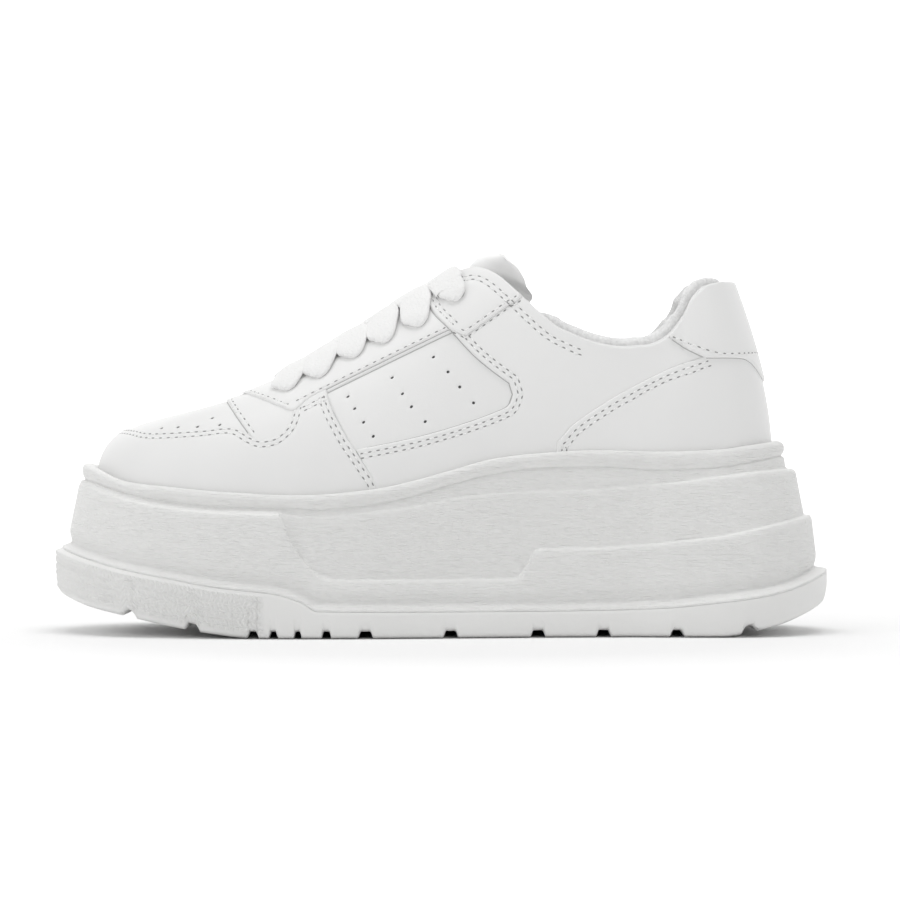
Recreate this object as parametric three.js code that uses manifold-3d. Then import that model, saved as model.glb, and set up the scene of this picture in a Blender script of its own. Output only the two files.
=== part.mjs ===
// Platform sneaker, left shoe, in millimetres.
// The toe points to -X, the outer side is -Y, +Z is up and the ground is at z = 0.
// The foot line is the plan of the last where the upper meets the sole. Every piece is
// worked out from it, from the table of wall sections and from the table of sole heights.

import * as THREE from "three";
import { mergeVertices } from "three/addons/utils/BufferGeometryUtils.js";
import Module from "manifold-3d";

const wasm = await Module();
wasm.setup();

// Driving sizes.
const upperLength = 246.4;
const ballWidth = 88;
const toeX = -126.7;
const platformHeight = 70;
const collarRise = 58;
const upperWall = 2;
const overlayWall = 1.2;
const tabWall = 2.1;
const pieceGap = 0.3;
const rimClearance = 2.2;
const insoleThickness = 4;
const tongueThickness = 5;
const paddingThickness = 6;
const paddingRise = 2.8;
const paddingGap = 0.5;
const flangeHeight = 2;
const laceWidth = 8.2;
const laceThickness = 2.4;
const eyeletRadius = 2;
const notchDepth = 2.6;
const seamBladeHalf = 0.15;

const half = ballWidth / 2;

// Wall sections from the heel round the outer side to the toe, in per cent.
// along, topAlong: of the upper's length from the toe. outer, inner, topAcross: of half the ball width.
// topUp, rise, bulge, out, down: of the collar rise, topUp measured from the platform height.
// rise and bulge place the lower handle of the wall's curve, out and down the upper one.
const sections = [
  { name: "heel back", along: 100, outer: 0, inner: 0, topAlong: 94.2, topAcross: 0, topUp: 99.1,
    rise: 41, bulge: 1.6, out: 10, down: 27 },
  { name: "heel corner", along: 96.1, outer: 50.5, inner: 49, topAlong: 91.6, topAcross: 37.5, topUp: 97,
    rise: 41, bulge: 1.8, out: 9, down: 28 },
  { name: "heel side", along: 86.3, outer: 71.6, inner: 70.5, topAlong: 87.3, topAcross: 54.5, topUp: 81,
    rise: 34, bulge: 1.8, out: 7, down: 31 },
  { name: "ankle back", along: 77, outer: 76, inner: 72.7, topAlong: 80.2, topAcross: 66, topUp: 59,
    rise: 26, bulge: 1.4, out: 4, down: 21 },
  { name: "ankle front", along: 68, outer: 79.5, inner: 71.6, topAlong: 72.1, topAcross: 68, topUp: 63.1,
    rise: 27, bulge: 1.4, out: 5, down: 21 },
  { name: "waist", along: 58.3, outer: 86.4, inner: 75, topAlong: 64, topAcross: 60, topUp: 85.5,
    rise: 41, bulge: 1.6, out: 13, down: 31 },
  { name: "instep", along: 47.8, outer: 94.3, inner: 83, topAlong: 56.3, topAcross: 41, topUp: 105.5,
    rise: 55, bulge: 2, out: 27, down: 31 },
  { name: "lace rows", along: 37.6, outer: 100, inner: 93, topAlong: 48.2, topAcross: 30.7, topUp: 89.6,
    rise: 59, bulge: 2.6, out: 32, down: 29 },
  { name: "ball", along: 27, outer: 100, inner: 100, topAlong: 38.4, topAcross: 28.4, topUp: 63.8,
    rise: 55, bulge: 3.4, out: 34, down: 24 },
  { name: "forefoot", along: 16.5, outer: 92, inner: 97, topAlong: 29.7, topAcross: 26, topUp: 42.2,
    rise: 52, bulge: 4.3, out: 38, down: 19 },
  { name: "toe corner", along: 6.2, outer: 65, inner: 73, topAlong: 25.6, topAcross: 17, topUp: 33.8,
    rise: 58, bulge: 4.6, out: 55, down: 22 },
  { name: "toe", along: 0, outer: -6.8, inner: 6.8, topAlong: 24.4, topAcross: 0, topUp: 31.6,
    rise: 61, bulge: 4.8, out: 59, down: 26 },
];

// Heights of the sole's lines, in per cent of the platform height, by the place along the
// upper's length in per cent from the toe. bed is the floor of the cup that the upper stands in.
const soleRows = [
  { along: -6.2, ground: 20, parting: 45, shoulder: 79, groove: 82, rim: 94, bed: 68.6 },
  { along: -0.5, ground: 14.6, parting: 39.6, shoulder: 75.6, groove: 78.6, rim: 87.5, bed: 68.6 },
  { along: 5.6, ground: 10.6, parting: 34.6, shoulder: 70, groove: 73, rim: 79.5, bed: 68.6 },
  { along: 12, ground: 6, parting: 30.6, shoulder: 66.2, groove: 69.1, rim: 77, bed: 66.4 },
  { along: 19, ground: 2.1, parting: 26.4, shoulder: 64, groove: 66.7, rim: 74.7, bed: 64.3 },
  { along: 24.6, ground: 0.1, parting: 24.3, shoulder: 63.5, groove: 66.2, rim: 73.6, bed: 63.3 },
  { along: 27.5, ground: 0, parting: 23.1, shoulder: 63.2, groove: 65.9, rim: 73, bed: 62.9 },
  { along: 31.1, ground: 0, parting: 19.3, shoulder: 61.2, groove: 65.5, rim: 72.9, bed: 62.9 },
  { along: 33.8, ground: 0, parting: 14.4, shoulder: 61, groove: 65.2, rim: 73.2, bed: 63.1 },
  { along: 41.7, ground: 0, parting: 14.1, shoulder: 63.6, groove: 67.9, rim: 76, bed: 65.7 },
  { along: 46.6, ground: 0, parting: 14, shoulder: 65.6, groove: 71.4, rim: 79.5, bed: 69 },
  { along: 53, ground: 0, parting: 14, shoulder: 70, groove: 78.1, rim: 85.7, bed: 74.3 },
  { along: 58.7, ground: 0, parting: 14, shoulder: 72.3, groove: 83, rim: 91.2, bed: 79 },
  { along: 64.4, ground: 0, parting: 14, shoulder: 73.6, groove: 85.9, rim: 93.8, bed: 82.6 },
  { along: 74.1, ground: 0, parting: 14.3, shoulder: 74.7, groove: 86.9, rim: 95.7, bed: 84.9 },
  { along: 83.5, ground: 0, parting: 15.4, shoulder: 77.6, groove: 85.3, rim: 95, bed: 85.4 },
  { along: 91.6, ground: 0, parting: 18.3, shoulder: 81, groove: 86.3, rim: 96, bed: 85.7 },
  { along: 96.9, ground: 2.9, parting: 20.6, shoulder: 83.4, groove: 89.1, rim: 98.4, bed: 85.9 },
  { along: 101.3, ground: 6.4, parting: 23.6, shoulder: 84.7, groove: 91.9, rim: 100.6, bed: 86 },
  { along: 109.1, ground: 15.7, parting: 32.6, shoulder: 86.4, groove: 94.3, rim: 102.8, bed: 86.1 },
];

// Top edge of the lowest, widest layer of the side wall: full height round the toe,
// down a slope behind the ball, low under the arch and up a short ramp to the heel.
const ledgeRows = [
  { along: -6.2, ledge: 95 },
  { along: 20, ledge: 80 },
  { along: 27.8, ledge: 64.6 },
  { along: 29.6, ledge: 49.4 },
  { along: 31.2, ledge: 40.3 },
  { along: 34.3, ledge: 30.7 },
  { along: 36.6, ledge: 29.1 },
  { along: 62, ledge: 29.1 },
  { along: 63.3, ledge: 33.7 },
  { along: 64.2, ledge: 40.3 },
  { along: 65.2, ledge: 44.3 },
  { along: 74.1, ledge: 44.9 },
  { along: 90.4, ledge: 50.1 },
  { along: 100.9, ledge: 57.3 },
  { along: 109.1, ledge: 63 },
];

// How far each line of the sole stands out from the foot line, in millimetres.
const reaches = {
  tread: { toe: 11.5, side: 6.8, heel: 16.5 },
  treadEdge: { toe: 15, side: 9.6, heel: 21 },
  outsole: { toe: 15.8, side: 10.8, heel: 22.3 },
  flange: { toe: 13.9, side: 10.5, heel: 22.3 },
  lowerBase: { toe: 11.3, side: 9.2, heel: 18.4 },
  lowerTop: { toe: 7.9, side: 8, heel: 16.6 },
  mainBase: { toe: 7.7, side: 6.2, heel: 13.9 },
  mainTop: { toe: 7.4, side: 5.6, heel: 10.7 },
  bandBase: { toe: 7.2, side: 4.5, heel: 7.2 },
  bandTop: { toe: 7, side: 4.2, heel: 6.6 },
  groove: { toe: 5.4, side: 3.6, heel: 5.4 },
  rim: { toe: 6.5, side: 5.2, heel: 6.6 },
};

// Cross grooves of the tread: place along the upper in per cent, and width in millimetres.
const notches = [
  { along: 6.3, width: 4 },
  { along: 15.6, width: 4.4 },
  { along: 24.4, width: 3.4 },
  { along: 27.3, width: 2.7 },
  { along: 30.8, width: 2.4 },
  { along: 34.9, width: 3 },
  { along: 40.5, width: 4.7 },
  { along: 52.7, width: 4.7 },
  { along: 65.3, width: 4.7 },
  { along: 74.8, width: 4.7 },
  { along: 85.4, width: 4.4 },
  { along: 95.8, width: 4.7 },
];

// Seams of the upper as seen from the side: along and up in per cent of the upper's length
// from the toe and of the collar rise above the platform height.
const guardTop = [
  [-5.4, 5], [4.8, 5], [9.1, 3], [16.4, 4.5], [21, 6], [23.5, 1], [25.2, -1.5],
  [27.4, 0.2], [29.1, 6], [29.9, 12.2], [30.4, 21.7],
];
const eyestayFront = [[22.2, 38], [22.8, 30.7], [24.6, 28.3], [26.4, 25.9], [28.3, 22.9], [30.4, 21.7]];
const eyestayLow = [[30.4, 21.7], [34.6, 30.7], [52.6, 68.8]];
const facingFront = [[52.6, 68.8], [50.5, 78.3], [49.8, 84.8], [49.2, 93.1], [49.2, 125]];
const facingRear = [[52.6, 68.8], [54.8, 64.7], [60.6, 82.2], [63.6, 92.2], [67.7, 125]];
const windowEdge = [
  [52.6, 68.8], [55.9, 53.4], [58.6, 43.6], [61.2, 35.5], [61.7, 28.4], [61.2, 22.6],
  [60.1, 19], [55, 9.7], [47.6, 0.5], [39, -6.9],
];
const guardRear = [[34.6, 30.7], [39, -6.9], [41.8, -28.4], [42.3, -52]];
const counterTop = [
  [67.7, -52], [68.1, -5.7], [68.9, 1.4], [70.3, 8.4], [72.8, 16.2], [77, 27.4],
  [81.2, 36.9], [85.3, 44.7], [89.8, 51.7],
];
const tabFront = [[84.1, 125], [84.1, 66.4], [87, 57.9], [89.8, 51.7]];
const tabLow = [[89.8, 51.7], [94.5, 51.2], [95.8, 49.1], [96.9, 44.1], [98.3, 32.6], [108, 32.6]];
const saddleFront = [[18.3, 30], [18.5, 27.5], [23.5, 1]];

// How far the top line rises over the sweep from section to section, in per cent of the rise.
const topTrim = [
  { along: 54, rise: 0 }, { along: 57, rise: 1.6 }, { along: 60, rise: 2.8 }, { along: 63.6, rise: 1.4 },
  { along: 65.6, rise: -0.8 }, { along: 68, rise: -1.8 }, { along: 71, rise: 0 }, { along: 79.6, rise: 0 },
  { along: 82.4, rise: -3.4 }, { along: 84.6, rise: -5.2 }, { along: 86.6, rise: -2.4 },
  { along: 88.3, rise: 5 }, { along: 89.6, rise: 5.4 }, { along: 91, rise: 2.4 }, { along: 92.6, rise: 0 },
];

// Eyelets from the toe up: along the throat edge's length and their distance below the edge.
const eyeletCount = 6;
const firstEyeletAlong = 31.2;
const lastEyeletAlong = 54.8;
const eyeletInset = 13;

// Reads one column of a table as a smooth function of the place along, without overshoot.
function column(rows, name) {
  const xs = rows.map((row) => row.along);
  const ys = rows.map((row) => row[name]);
  const steps = xs.slice(1).map((x, i) => (ys[i + 1] - ys[i]) / (x - xs[i]));
  const slopes = xs.map((x, i) => {
    const before = steps[Math.max(i - 1, 0)];
    const after = steps[Math.min(i, steps.length - 1)];
    return before * after <= 0 ? 0 : (2 * before * after) / (before + after);
  });
  return (x) => {
    const last = xs.length - 2;
    let i = xs.findIndex((edge, k) => k > 0 && x <= edge) - 1;
    i = i < 0 ? (x <= xs[0] ? 0 : last) : i;
    const width = xs[i + 1] - xs[i];
    const t = THREE.MathUtils.clamp((x - xs[i]) / width, 0, 1);
    const s = 1 - t;
    return ys[i] * s * s * (1 + 2 * t) + ys[i + 1] * t * t * (1 + 2 * s)
      + width * s * t * (slopes[i] * s - slopes[i + 1] * t);
  };
}

const alongOf = (x) => (100 * (x - toeX)) / upperLength;
const xOf = (along) => toeX + (along / 100) * upperLength;
const upOf = (up) => platformHeight + (up / 100) * collarRise;

function heightLine(rows, name) {
  const share = column(rows, name);
  return (x) => (share(alongOf(x)) / 100) * platformHeight;
}

const groundAt = heightLine(soleRows, "ground");
const partingAt = heightLine(soleRows, "parting");
const grooveAt = heightLine(soleRows, "groove");
const rimAt = heightLine(soleRows, "rim");
const bedAt = heightLine(soleRows, "bed");
const rawShoulderAt = heightLine(soleRows, "shoulder");
const rawLedgeAt = heightLine(ledgeRows, "ledge");
const ledgeRoom = 2.6;
const shoulderRoom = 1.6;
const ledgeAt = (x) => Math.min(rawLedgeAt(x), grooveAt(x) - ledgeRoom);
const shoulderAt = (x) => Math.min(Math.max(rawShoulderAt(x), ledgeAt(x) + 1), grooveAt(x) - shoulderRoom);

// The closed round of sections: heel, outer side, toe, inner side.
const outerRound = sections.map((section) => ({ section, side: -1, across: section.outer }));
const innerRound = sections.slice(1, -1).reverse()
  .map((section) => ({ section, side: 1, across: section.inner }));
const round = [...outerRound, ...innerRound];
const closedCurve = (points) => new THREE.CatmullRomCurve3(points, true, "centripetal");

const footCurve = closedCurve(round.map(({ section, side, across }) =>
  new THREE.Vector3(xOf(section.along), side * (across / 100) * half, 0)));
footCurve.arcLengthDivisions = 880;
const topCurve = closedCurve(round.map(({ section, side }) =>
  new THREE.Vector3(xOf(section.topAlong), side * (section.topAcross / 100) * half, upOf(section.topUp))));
const handleCurve = closedCurve(round.map(({ section }) =>
  new THREE.Vector3(section.rise, section.bulge, 0).multiplyScalar(collarRise / 100)));
const shoulderCurve = closedCurve(round.map(({ section }) =>
  new THREE.Vector3(section.out, section.down, 0).multiplyScalar(collarRise / 100)));

const trimAt = column(topTrim, "rise");

function planNormal(tangent) {
  return new THREE.Vector3(-tangent.y, tangent.x, 0).normalize();
}

// The middle surface of the upper's outside: turn runs round the foot from 0 to 1,
// height from 0 at the cup to 1 at the top line. A cubic curve with two handles.
function wallPoint(turn, height) {
  const t = ((turn % 1) + 1) % 1;
  const foot = footCurve.getPoint(t);
  foot.z = bedAt(foot.x) + pieceGap;
  const top = topCurve.getPoint(t);
  top.z += (trimAt(alongOf(top.x)) / 100) * collarRise;
  const handle = handleCurve.getPoint(t);
  const shoulder = shoulderCurve.getPoint(t);
  const outward = planNormal(footCurve.getTangent(t));
  const lower = foot.clone().addScaledVector(outward, handle.y);
  lower.z += handle.x;
  const away = new THREE.Vector3(foot.x - top.x, foot.y - top.y, 0).normalize();
  const upper = top.clone().addScaledVector(away, shoulder.x);
  upper.z -= shoulder.y;
  return new THREE.CubicBezierCurve3(foot, lower, upper, top).getPoint(height);
}

function wallNormal(turn, height) {
  const step = 0.002;
  const around = wallPoint(turn + step, height).sub(wallPoint(turn - step, height));
  const low = Math.max(height - step, 0);
  const high = Math.min(height + step, 1);
  const upward = wallPoint(turn, high).sub(wallPoint(turn, low));
  return upward.cross(around).normalize();
}

// A point of the upper at a distance outside (or, below zero, inside) its surface.
function wallAt(turn, height, offset) {
  return wallPoint(turn, height).addScaledVector(wallNormal(turn, height), offset);
}

// Solids from rings of points. Points i and count - i of a ring face each other.
function solidFrom(points, faces) {
  const geometry = new THREE.BufferGeometry();
  const positions = points.flatMap((point) => [point.x, point.y, point.z]);
  geometry.setAttribute("position", new THREE.Float32BufferAttribute(positions, 3));
  const volume = faces.reduce((sum, [a, b, c]) =>
    sum + points[a].dot(new THREE.Vector3().crossVectors(points[b], points[c])), 0);
  geometry.setIndex(faces.flatMap(([a, b, c]) => (volume < 0 ? [a, c, b] : [a, b, c])));
  return geometry;
}

function bandFaces(lowStart, highStart, count) {
  const faces = [];
  for (let i = 0; i < count; i += 1) {
    const next = (i + 1) % count;
    faces.push([lowStart + i, lowStart + next, highStart + next]);
    faces.push([lowStart + i, highStart + next, highStart + i]);
  }
  return faces;
}

function capFaces(start, count, facingUp) {
  const faces = [];
  for (let i = 0; i < count / 2; i += 1) {
    const a = start + i;
    const b = start + i + 1;
    const c = start + count - i - 1;
    const d = start + ((count - i) % count);
    if (b !== c) faces.push([a, b, c]);
    if (a !== d) faces.push([a, c, d]);
  }
  return facingUp ? faces : faces.map(([a, b, c]) => [a, c, b]);
}

function stackedSolid(rings) {
  const count = rings[0].length;
  const faces = capFaces(0, count, false);
  for (let j = 0; j < rings.length - 1; j += 1) {
    faces.push(...bandFaces(j * count, (j + 1) * count, count));
  }
  faces.push(...capFaces((rings.length - 1) * count, count, true));
  return solidFrom(rings.flat(), faces);
}

function hollowRing(rings) {
  const count = rings[0].length;
  const faces = rings.flatMap((ring, j) =>
    bandFaces(j * count, ((j + 1) % rings.length) * count, count));
  return solidFrom(rings.flat(), faces);
}

// Joins and cuts.
function toSolid(geometry) {
  const bare = geometry.clone();
  bare.deleteAttribute("normal");
  bare.deleteAttribute("uv");
  const merged = mergeVertices(bare, 1e-4);
  return new wasm.Manifold(new wasm.Mesh({
    numProp: 3,
    vertProperties: new Float32Array(merged.attributes.position.array),
    triVerts: new Uint32Array(merged.index.array),
  }));
}

function toGeometry(solid) {
  const mesh = solid.getMesh();
  const geometry = new THREE.BufferGeometry();
  geometry.setAttribute("position", new THREE.BufferAttribute(new Float32Array(mesh.vertProperties), 3));
  geometry.setIndex(new THREE.BufferAttribute(new Uint32Array(mesh.triVerts), 1));
  return geometry;
}

// A prism across the shoe from an outline seen from the side.
function sidePrism(outline, fromY, toY) {
  const shape = new THREE.Shape(outline.map(([x, z]) => new THREE.Vector2(x, z)));
  const geometry = new THREE.ExtrudeGeometry(shape, { depth: toY - fromY, bevelEnabled: false });
  geometry.rotateX(Math.PI / 2);
  geometry.translate(0, toY, 0);
  return toSolid(geometry);
}

const material = (color, roughness) => new THREE.MeshStandardMaterial({ color, roughness, metalness: 0 });
const sneaker = new THREE.Group();

function addPiece(name, geometry, finish) {
  const mesh = new THREE.Mesh(geometry, finish);
  mesh.name = name;
  sneaker.add(mesh);
}

// Stations round the sole: even steps, and closer ones where the ledge climbs or falls.
const plainStations = 25;
const closeStations = [28.6, 30.4, 32.6, 62, 63.3, 64.2, 65.2];
const lengths = footCurve.getLengths();
const toeShare = lengths[lengths.length / 2 | 0] / lengths[lengths.length - 1];
const toeIndexShare = (sections.length - 1) / round.length;

function stationList() {
  const list = [];
  for (let i = 0; i <= plainStations; i += 1) {
    list.push(i / plainStations);
  }
  for (const along of closeStations) {
    let low = 0;
    let high = 1;
    for (let pass = 0; pass < 20; pass += 1) {
      const middle = (low + high) / 2;
      const isBehind = footCurve.getPointAt(middle * toeShare).x > xOf(along);
      low = isBehind ? middle : low;
      high = isBehind ? high : middle;
    }
    list.push(low);
  }
  return list.sort((a, b) => a - b);
}

const halfStations = stationList();
const soleStations = [
  ...halfStations.map((share) => share * toeShare),
  ...halfStations.slice(1, -1).reverse().map((share) => 1 - share * (1 - toeShare)),
].map((turn) => ({
  foot: footCurve.getPointAt(turn % 1),
  outward: planNormal(footCurve.getTangentAt(turn % 1)),
}));

const toeBlend = (x) => 1 - THREE.MathUtils.smoothstep(alongOf(x), -1, 14);
const heelBlend = (x) => THREE.MathUtils.smoothstep(alongOf(x), 78, 99);

function reachAt(reach, x) {
  return reach.side + (reach.toe - reach.side) * toeBlend(x) + (reach.heel - reach.side) * heelBlend(x);
}

function soleRing(reach, heightAt) {
  return soleStations.map(({ foot, outward }) => {
    const distance = typeof reach === "number" ? reach : reachAt(reach, foot.x);
    const point = foot.clone().addScaledVector(outward, distance);
    point.z = heightAt(point.x);
    return point;
  });
}

// Outsole: a stack of rings whose bottom is flat from the ball to the heel and sweeps up at
// both ends, with the cross grooves of the tread cut through it.
function outsole() {
  const edgeRise = 1.6;
  const bottomAt = (x) => groundAt(x);
  const solid = toSolid(stackedSolid([
    soleRing(reaches.tread, bottomAt),
    soleRing(reaches.treadEdge, (x) => bottomAt(x) + edgeRise),
    soleRing(reaches.outsole, (x) => bottomAt(x) + (partingAt(x) - bottomAt(x)) * 0.5),
    soleRing(reaches.flange, (x) => partingAt(x) - pieceGap),
  ]));
  return toGeometry(notches.reduce((body, { along, width }) => {
    const x = xOf(along);
    const roof = groundAt(x) + notchDepth;
    const low = Math.min(groundAt(x - width), groundAt(x + width)) - notchDepth;
    const outline = [
      [x - width * 0.6, low], [x + width * 0.6, low],
      [x + width * 0.6, roof - notchDepth], [x + width * 0.36, roof],
      [x - width * 0.36, roof], [x - width * 0.6, roof - notchDepth],
    ];
    return body.subtract(sidePrism(outline, -ballWidth, ballWidth));
  }, solid));
}

// Midsole: the stepped side wall, the rim and the cup, one ring for each line of the side.
function midsole() {
  const lip = 0.5;
  const rimRound = 1.1;
  return stackedSolid([
    soleRing(reaches.flange, partingAt),
    soleRing(reaches.flange, (x) => partingAt(x) + flangeHeight),
    soleRing(reaches.lowerBase, (x) => partingAt(x) + flangeHeight + lip),
    soleRing(reaches.lowerTop, (x) => ledgeAt(x)),
    soleRing(reaches.mainBase, (x) => ledgeAt(x) + lip),
    soleRing(reaches.mainTop, (x) => shoulderAt(x)),
    soleRing(reaches.bandBase, (x) => shoulderAt(x) + lip),
    soleRing(reaches.bandTop, (x) => grooveAt(x) - lip),
    soleRing(reaches.groove, (x) => grooveAt(x)),
    soleRing(reaches.rim, (x) => grooveAt(x) + rimRound),
    soleRing(reaches.rim, (x) => rimAt(x) - rimRound),
    soleRing(rimClearance + 2, rimAt),
    soleRing(rimClearance, (x) => rimAt(x) - rimRound),
    soleRing(rimClearance, bedAt),
  ]);
}

function insole() {
  const inset = -(upperWall + 3 * pieceGap);
  const softEdge = 1;
  return stackedSolid([
    soleRing(inset, (x) => bedAt(x) + pieceGap),
    soleRing(inset, (x) => bedAt(x) + pieceGap + insoleThickness - softEdge),
    soleRing(inset - softEdge, (x) => bedAt(x) + pieceGap + insoleThickness),
  ]);
}

// Upper: one hollow wall, open at the collar, the throat and underneath.
const wallStations = round.length * 3;
const wallHeights = [0, 0.2, 0.42, 0.64, 0.84, 1];
const turns = Array.from({ length: wallStations }, (_, i) => i / wallStations);
const wallRing = (height, offset) => turns.map((turn) => wallAt(turn, height, offset));

// Throat edge place of each eyelet: the turn where the top line has the eyelet's distance along.
function eyeletTurn(row) {
  const wanted = xOf(firstEyeletAlong + ((lastEyeletAlong - firstEyeletAlong) * row) / (eyeletCount - 1));
  let low = 5.5 / round.length;
  let high = toeIndexShare;
  for (let pass = 0; pass < 24; pass += 1) {
    const middle = (low + high) / 2;
    const isBehind = wallPoint(middle, 0.9).x > wanted;
    low = isBehind ? middle : low;
    high = isBehind ? high : middle;
  }
  return (low + high) / 2;
}

// Walks down the wall from the throat edge by a distance, at an eyelet's turn.
function eyeletPlace(row, side, inset) {
  const turn = side < 0 ? eyeletTurn(row) : 1 - eyeletTurn(row);
  const edge = wallPoint(turn, 1);
  let height = 1;
  while (wallPoint(turn, height).distanceTo(edge) < inset) {
    height -= 0.005;
  }
  return { point: wallPoint(turn, height), normal: wallNormal(turn, height) };
}

const eyelets = [-1, 1].map((side) =>
  Array.from({ length: eyeletCount }, (_, row) => eyeletPlace(row, side, eyeletInset)));

function eyeletDrill({ point, normal }) {
  const drill = new THREE.CylinderGeometry(eyeletRadius, eyeletRadius, 12, 6);
  const turnUp = new THREE.Quaternion().setFromUnitVectors(new THREE.Vector3(0, 1, 0), normal);
  drill.applyQuaternion(turnUp);
  drill.translate(point.x, point.y, point.z);
  return toSolid(drill);
}

const drills = eyelets.flat().map(eyeletDrill);
const punched = (solid) => drills.reduce((body, drill) => body.subtract(drill), solid);

function upper() {
  const outside = wallHeights.map((height) => wallRing(height, 0));
  const inside = wallHeights.map((height) => wallRing(height, -upperWall)).reverse();
  return toGeometry(punched(toSolid(hollowRing([...outside, ...inside]))));
}

// Overlays: a sheet between two larger forms of the upper, cut along the seams.
function overlaySheet(thickness) {
  const outerForm = wallHeights.map((height) => wallRing(height, pieceGap + thickness));
  const innerForm = wallHeights.map((height) => wallRing(height, pieceGap));
  const over = thickness + collarRise / 10;
  const raised = innerForm.at(-1).map((point) => point.clone().setZ(point.z + over));
  const lowered = innerForm[0].map((point) => point.clone().setZ(point.z - over));
  const core = toSolid(stackedSolid([lowered, ...innerForm, raised]));
  return toSolid(stackedSolid(outerForm)).subtract(core);
}

const toSide = ([along, up]) => [xOf(along), upOf(up)];

// A thin blade along a seam, so that the pieces on both sides stay apart.
function seamBlade(seam) {
  const line = seam.map(toSide).map(([x, z]) => new THREE.Vector2(x, z));
  const edge = (sign) => line.map((point, i) => {
    const ahead = line[Math.min(i + 1, line.length - 1)].clone().sub(line[Math.max(i - 1, 0)]);
    const across = new THREE.Vector2(-ahead.y, ahead.x).normalize().multiplyScalar(sign * seamBladeHalf);
    return point.clone().add(across);
  });
  const outline = [...edge(1), ...edge(-1).reverse()].map((point) => [point.x, point.y]);
  return sidePrism(outline, -ballWidth, ballWidth);
}

const seams = [guardTop, eyestayFront, eyestayLow, facingFront, facingRear, windowEdge,
  guardRear, counterTop, tabFront, tabLow];
const blades = seams.map(seamBlade);
const separated = (sheet) => blades.reduce((body, blade) => body.subtract(blade), sheet);
const overlays = separated(overlaySheet(overlayWall));
const tabSheet = separated(overlaySheet(tabWall));

function region(...lines) {
  return lines.flat().map(toSide);
}

const backwards = (line) => [...line].reverse();
const floorUp = -60;
const skyUp = 125;
const regions = {
  guard: region(guardTop, [[34.6, 30.7]], guardRear, [[42.3, floorUp], [-8, floorUp], [-8, 5]]),
  saddle: region(saddleFront, guardTop.slice(5), backwards(eyestayFront)),
  eyestay: region(eyestayFront, eyestayLow, facingFront, [[22.2, skyUp]]),
  facing: region(facingFront.slice(1), backwards(facingRear)),
  quarter: region(windowEdge, guardRear.slice(1), [[42.3, floorUp], [67.7, floorUp]],
    counterTop, backwards(tabFront), backwards(facingRear)),
  counter: region(counterTop, tabLow, [[108, floorUp], [67.7, floorUp]]),
  tab: region(tabFront, tabLow, [[108, skyUp]]),
};

function overlay(name, sheet, fromY, toY) {
  return sheet.intersect(sidePrism(regions[name], fromY, toY));
}

// Collar padding: a soft roll inside the top line, from one facing round the heel to the other.
const paddingEnd = 4.85 / round.length;
const paddingSteps = 26;

function paddingSection(turn) {
  const behind = -(upperWall + paddingGap);
  const point = (height, depth, lift) => {
    const place = wallAt(turn, height, behind - depth * paddingThickness);
    place.z += lift * paddingRise;
    return place;
  };
  return [
    point(1, 0.05, 0), point(1, 0.16, 0.75), point(1, 0.5, 1), point(1, 0.88, 0.5),
    point(0.88, 1, 0), point(0.72, 0.75, 0), point(0.58, 0.25, 0), point(0.58, 0, 0),
    point(0.72, 0, 0), point(0.88, 0, 0),
  ];
}

function collarPadding() {
  const list = Array.from({ length: paddingSteps + 1 }, (_, i) =>
    paddingSection(-paddingEnd + (2 * paddingEnd * i) / paddingSteps));
  return stackedSolid(list);
}

// Tongue: under the throat it follows the inside of the upper, then it runs free to its top.
const tongueTurns = [10.4, 9.6, 8.9, 8.2, 7.5, 6.9];
const tongueHeights = [0.84, 0.92, 1];
const tongueArch = 2.2;
const tongueInset = 0.6;
const tongueTop = [
  { along: 56.4, up: 105, edgeAlong: 60.5, edgeUp: 93, across: 33, thickness: 1 },
  { along: 58.2, up: 115.5, edgeAlong: 62.6, edgeUp: 104, across: 42, thickness: 0.9 },
  { along: 59.6, up: 119.5, edgeAlong: 62.8, edgeUp: 112, across: 40, thickness: 0.4 },
];

function tongueSection(row) {
  const turn = row / round.length;
  const behind = -(upperWall + tongueInset);
  const face = (depth) => {
    const outer = tongueHeights.map((height) => wallAt(turn, height, behind - depth));
    const middle = wallAt(turn, 1, behind - depth).setY(0);
    middle.z += tongueArch;
    const inner = [...tongueHeights].reverse().map((height) => wallAt(1 - turn, height, behind - depth));
    return [...outer, middle, ...inner];
  };
  return [...face(0), ...face(tongueThickness).reverse()];
}

function tongueTopSection(row) {
  const face = (depth) => [-1, -0.82, -0.5, 0, 0.5, 0.82, 1].map((share) => {
    const bow = share * share;
    const back = depth * tongueThickness * row.thickness;
    return new THREE.Vector3(
      THREE.MathUtils.lerp(xOf(row.along), xOf(row.edgeAlong), bow) + back * 0.75,
      (share * row.across * half) / 100 - Math.sign(share) * bow * back * 0.5,
      THREE.MathUtils.lerp(upOf(row.up), upOf(row.edgeUp), bow) - back * 0.5,
    );
  });
  return [...face(0), ...face(1).reverse()];
}

function tongue() {
  return stackedSolid([...tongueTurns.map(tongueSection), ...tongueTop.map(tongueTopSection)]);
}

// Lace: flat ribbons over the overlays. A path of points, each with its way up.
function ribbon(path) {
  const profile = [[-0.5, 0], [-0.36, 0.46], [0.36, 0.46], [0.5, 0], [0.4, -0.46], [-0.4, -0.46]];
  return stackedSolid(path.map(({ point, up }, i) => {
    const before = path[Math.max(i - 1, 0)].point;
    const after = path[Math.min(i + 1, path.length - 1)].point;
    const across = after.clone().sub(before).cross(up).normalize();
    return profile.map(([wide, thick]) => point.clone()
      .addScaledVector(across, wide * laceWidth)
      .addScaledVector(up, thick * laceThickness));
  }));
}

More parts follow.
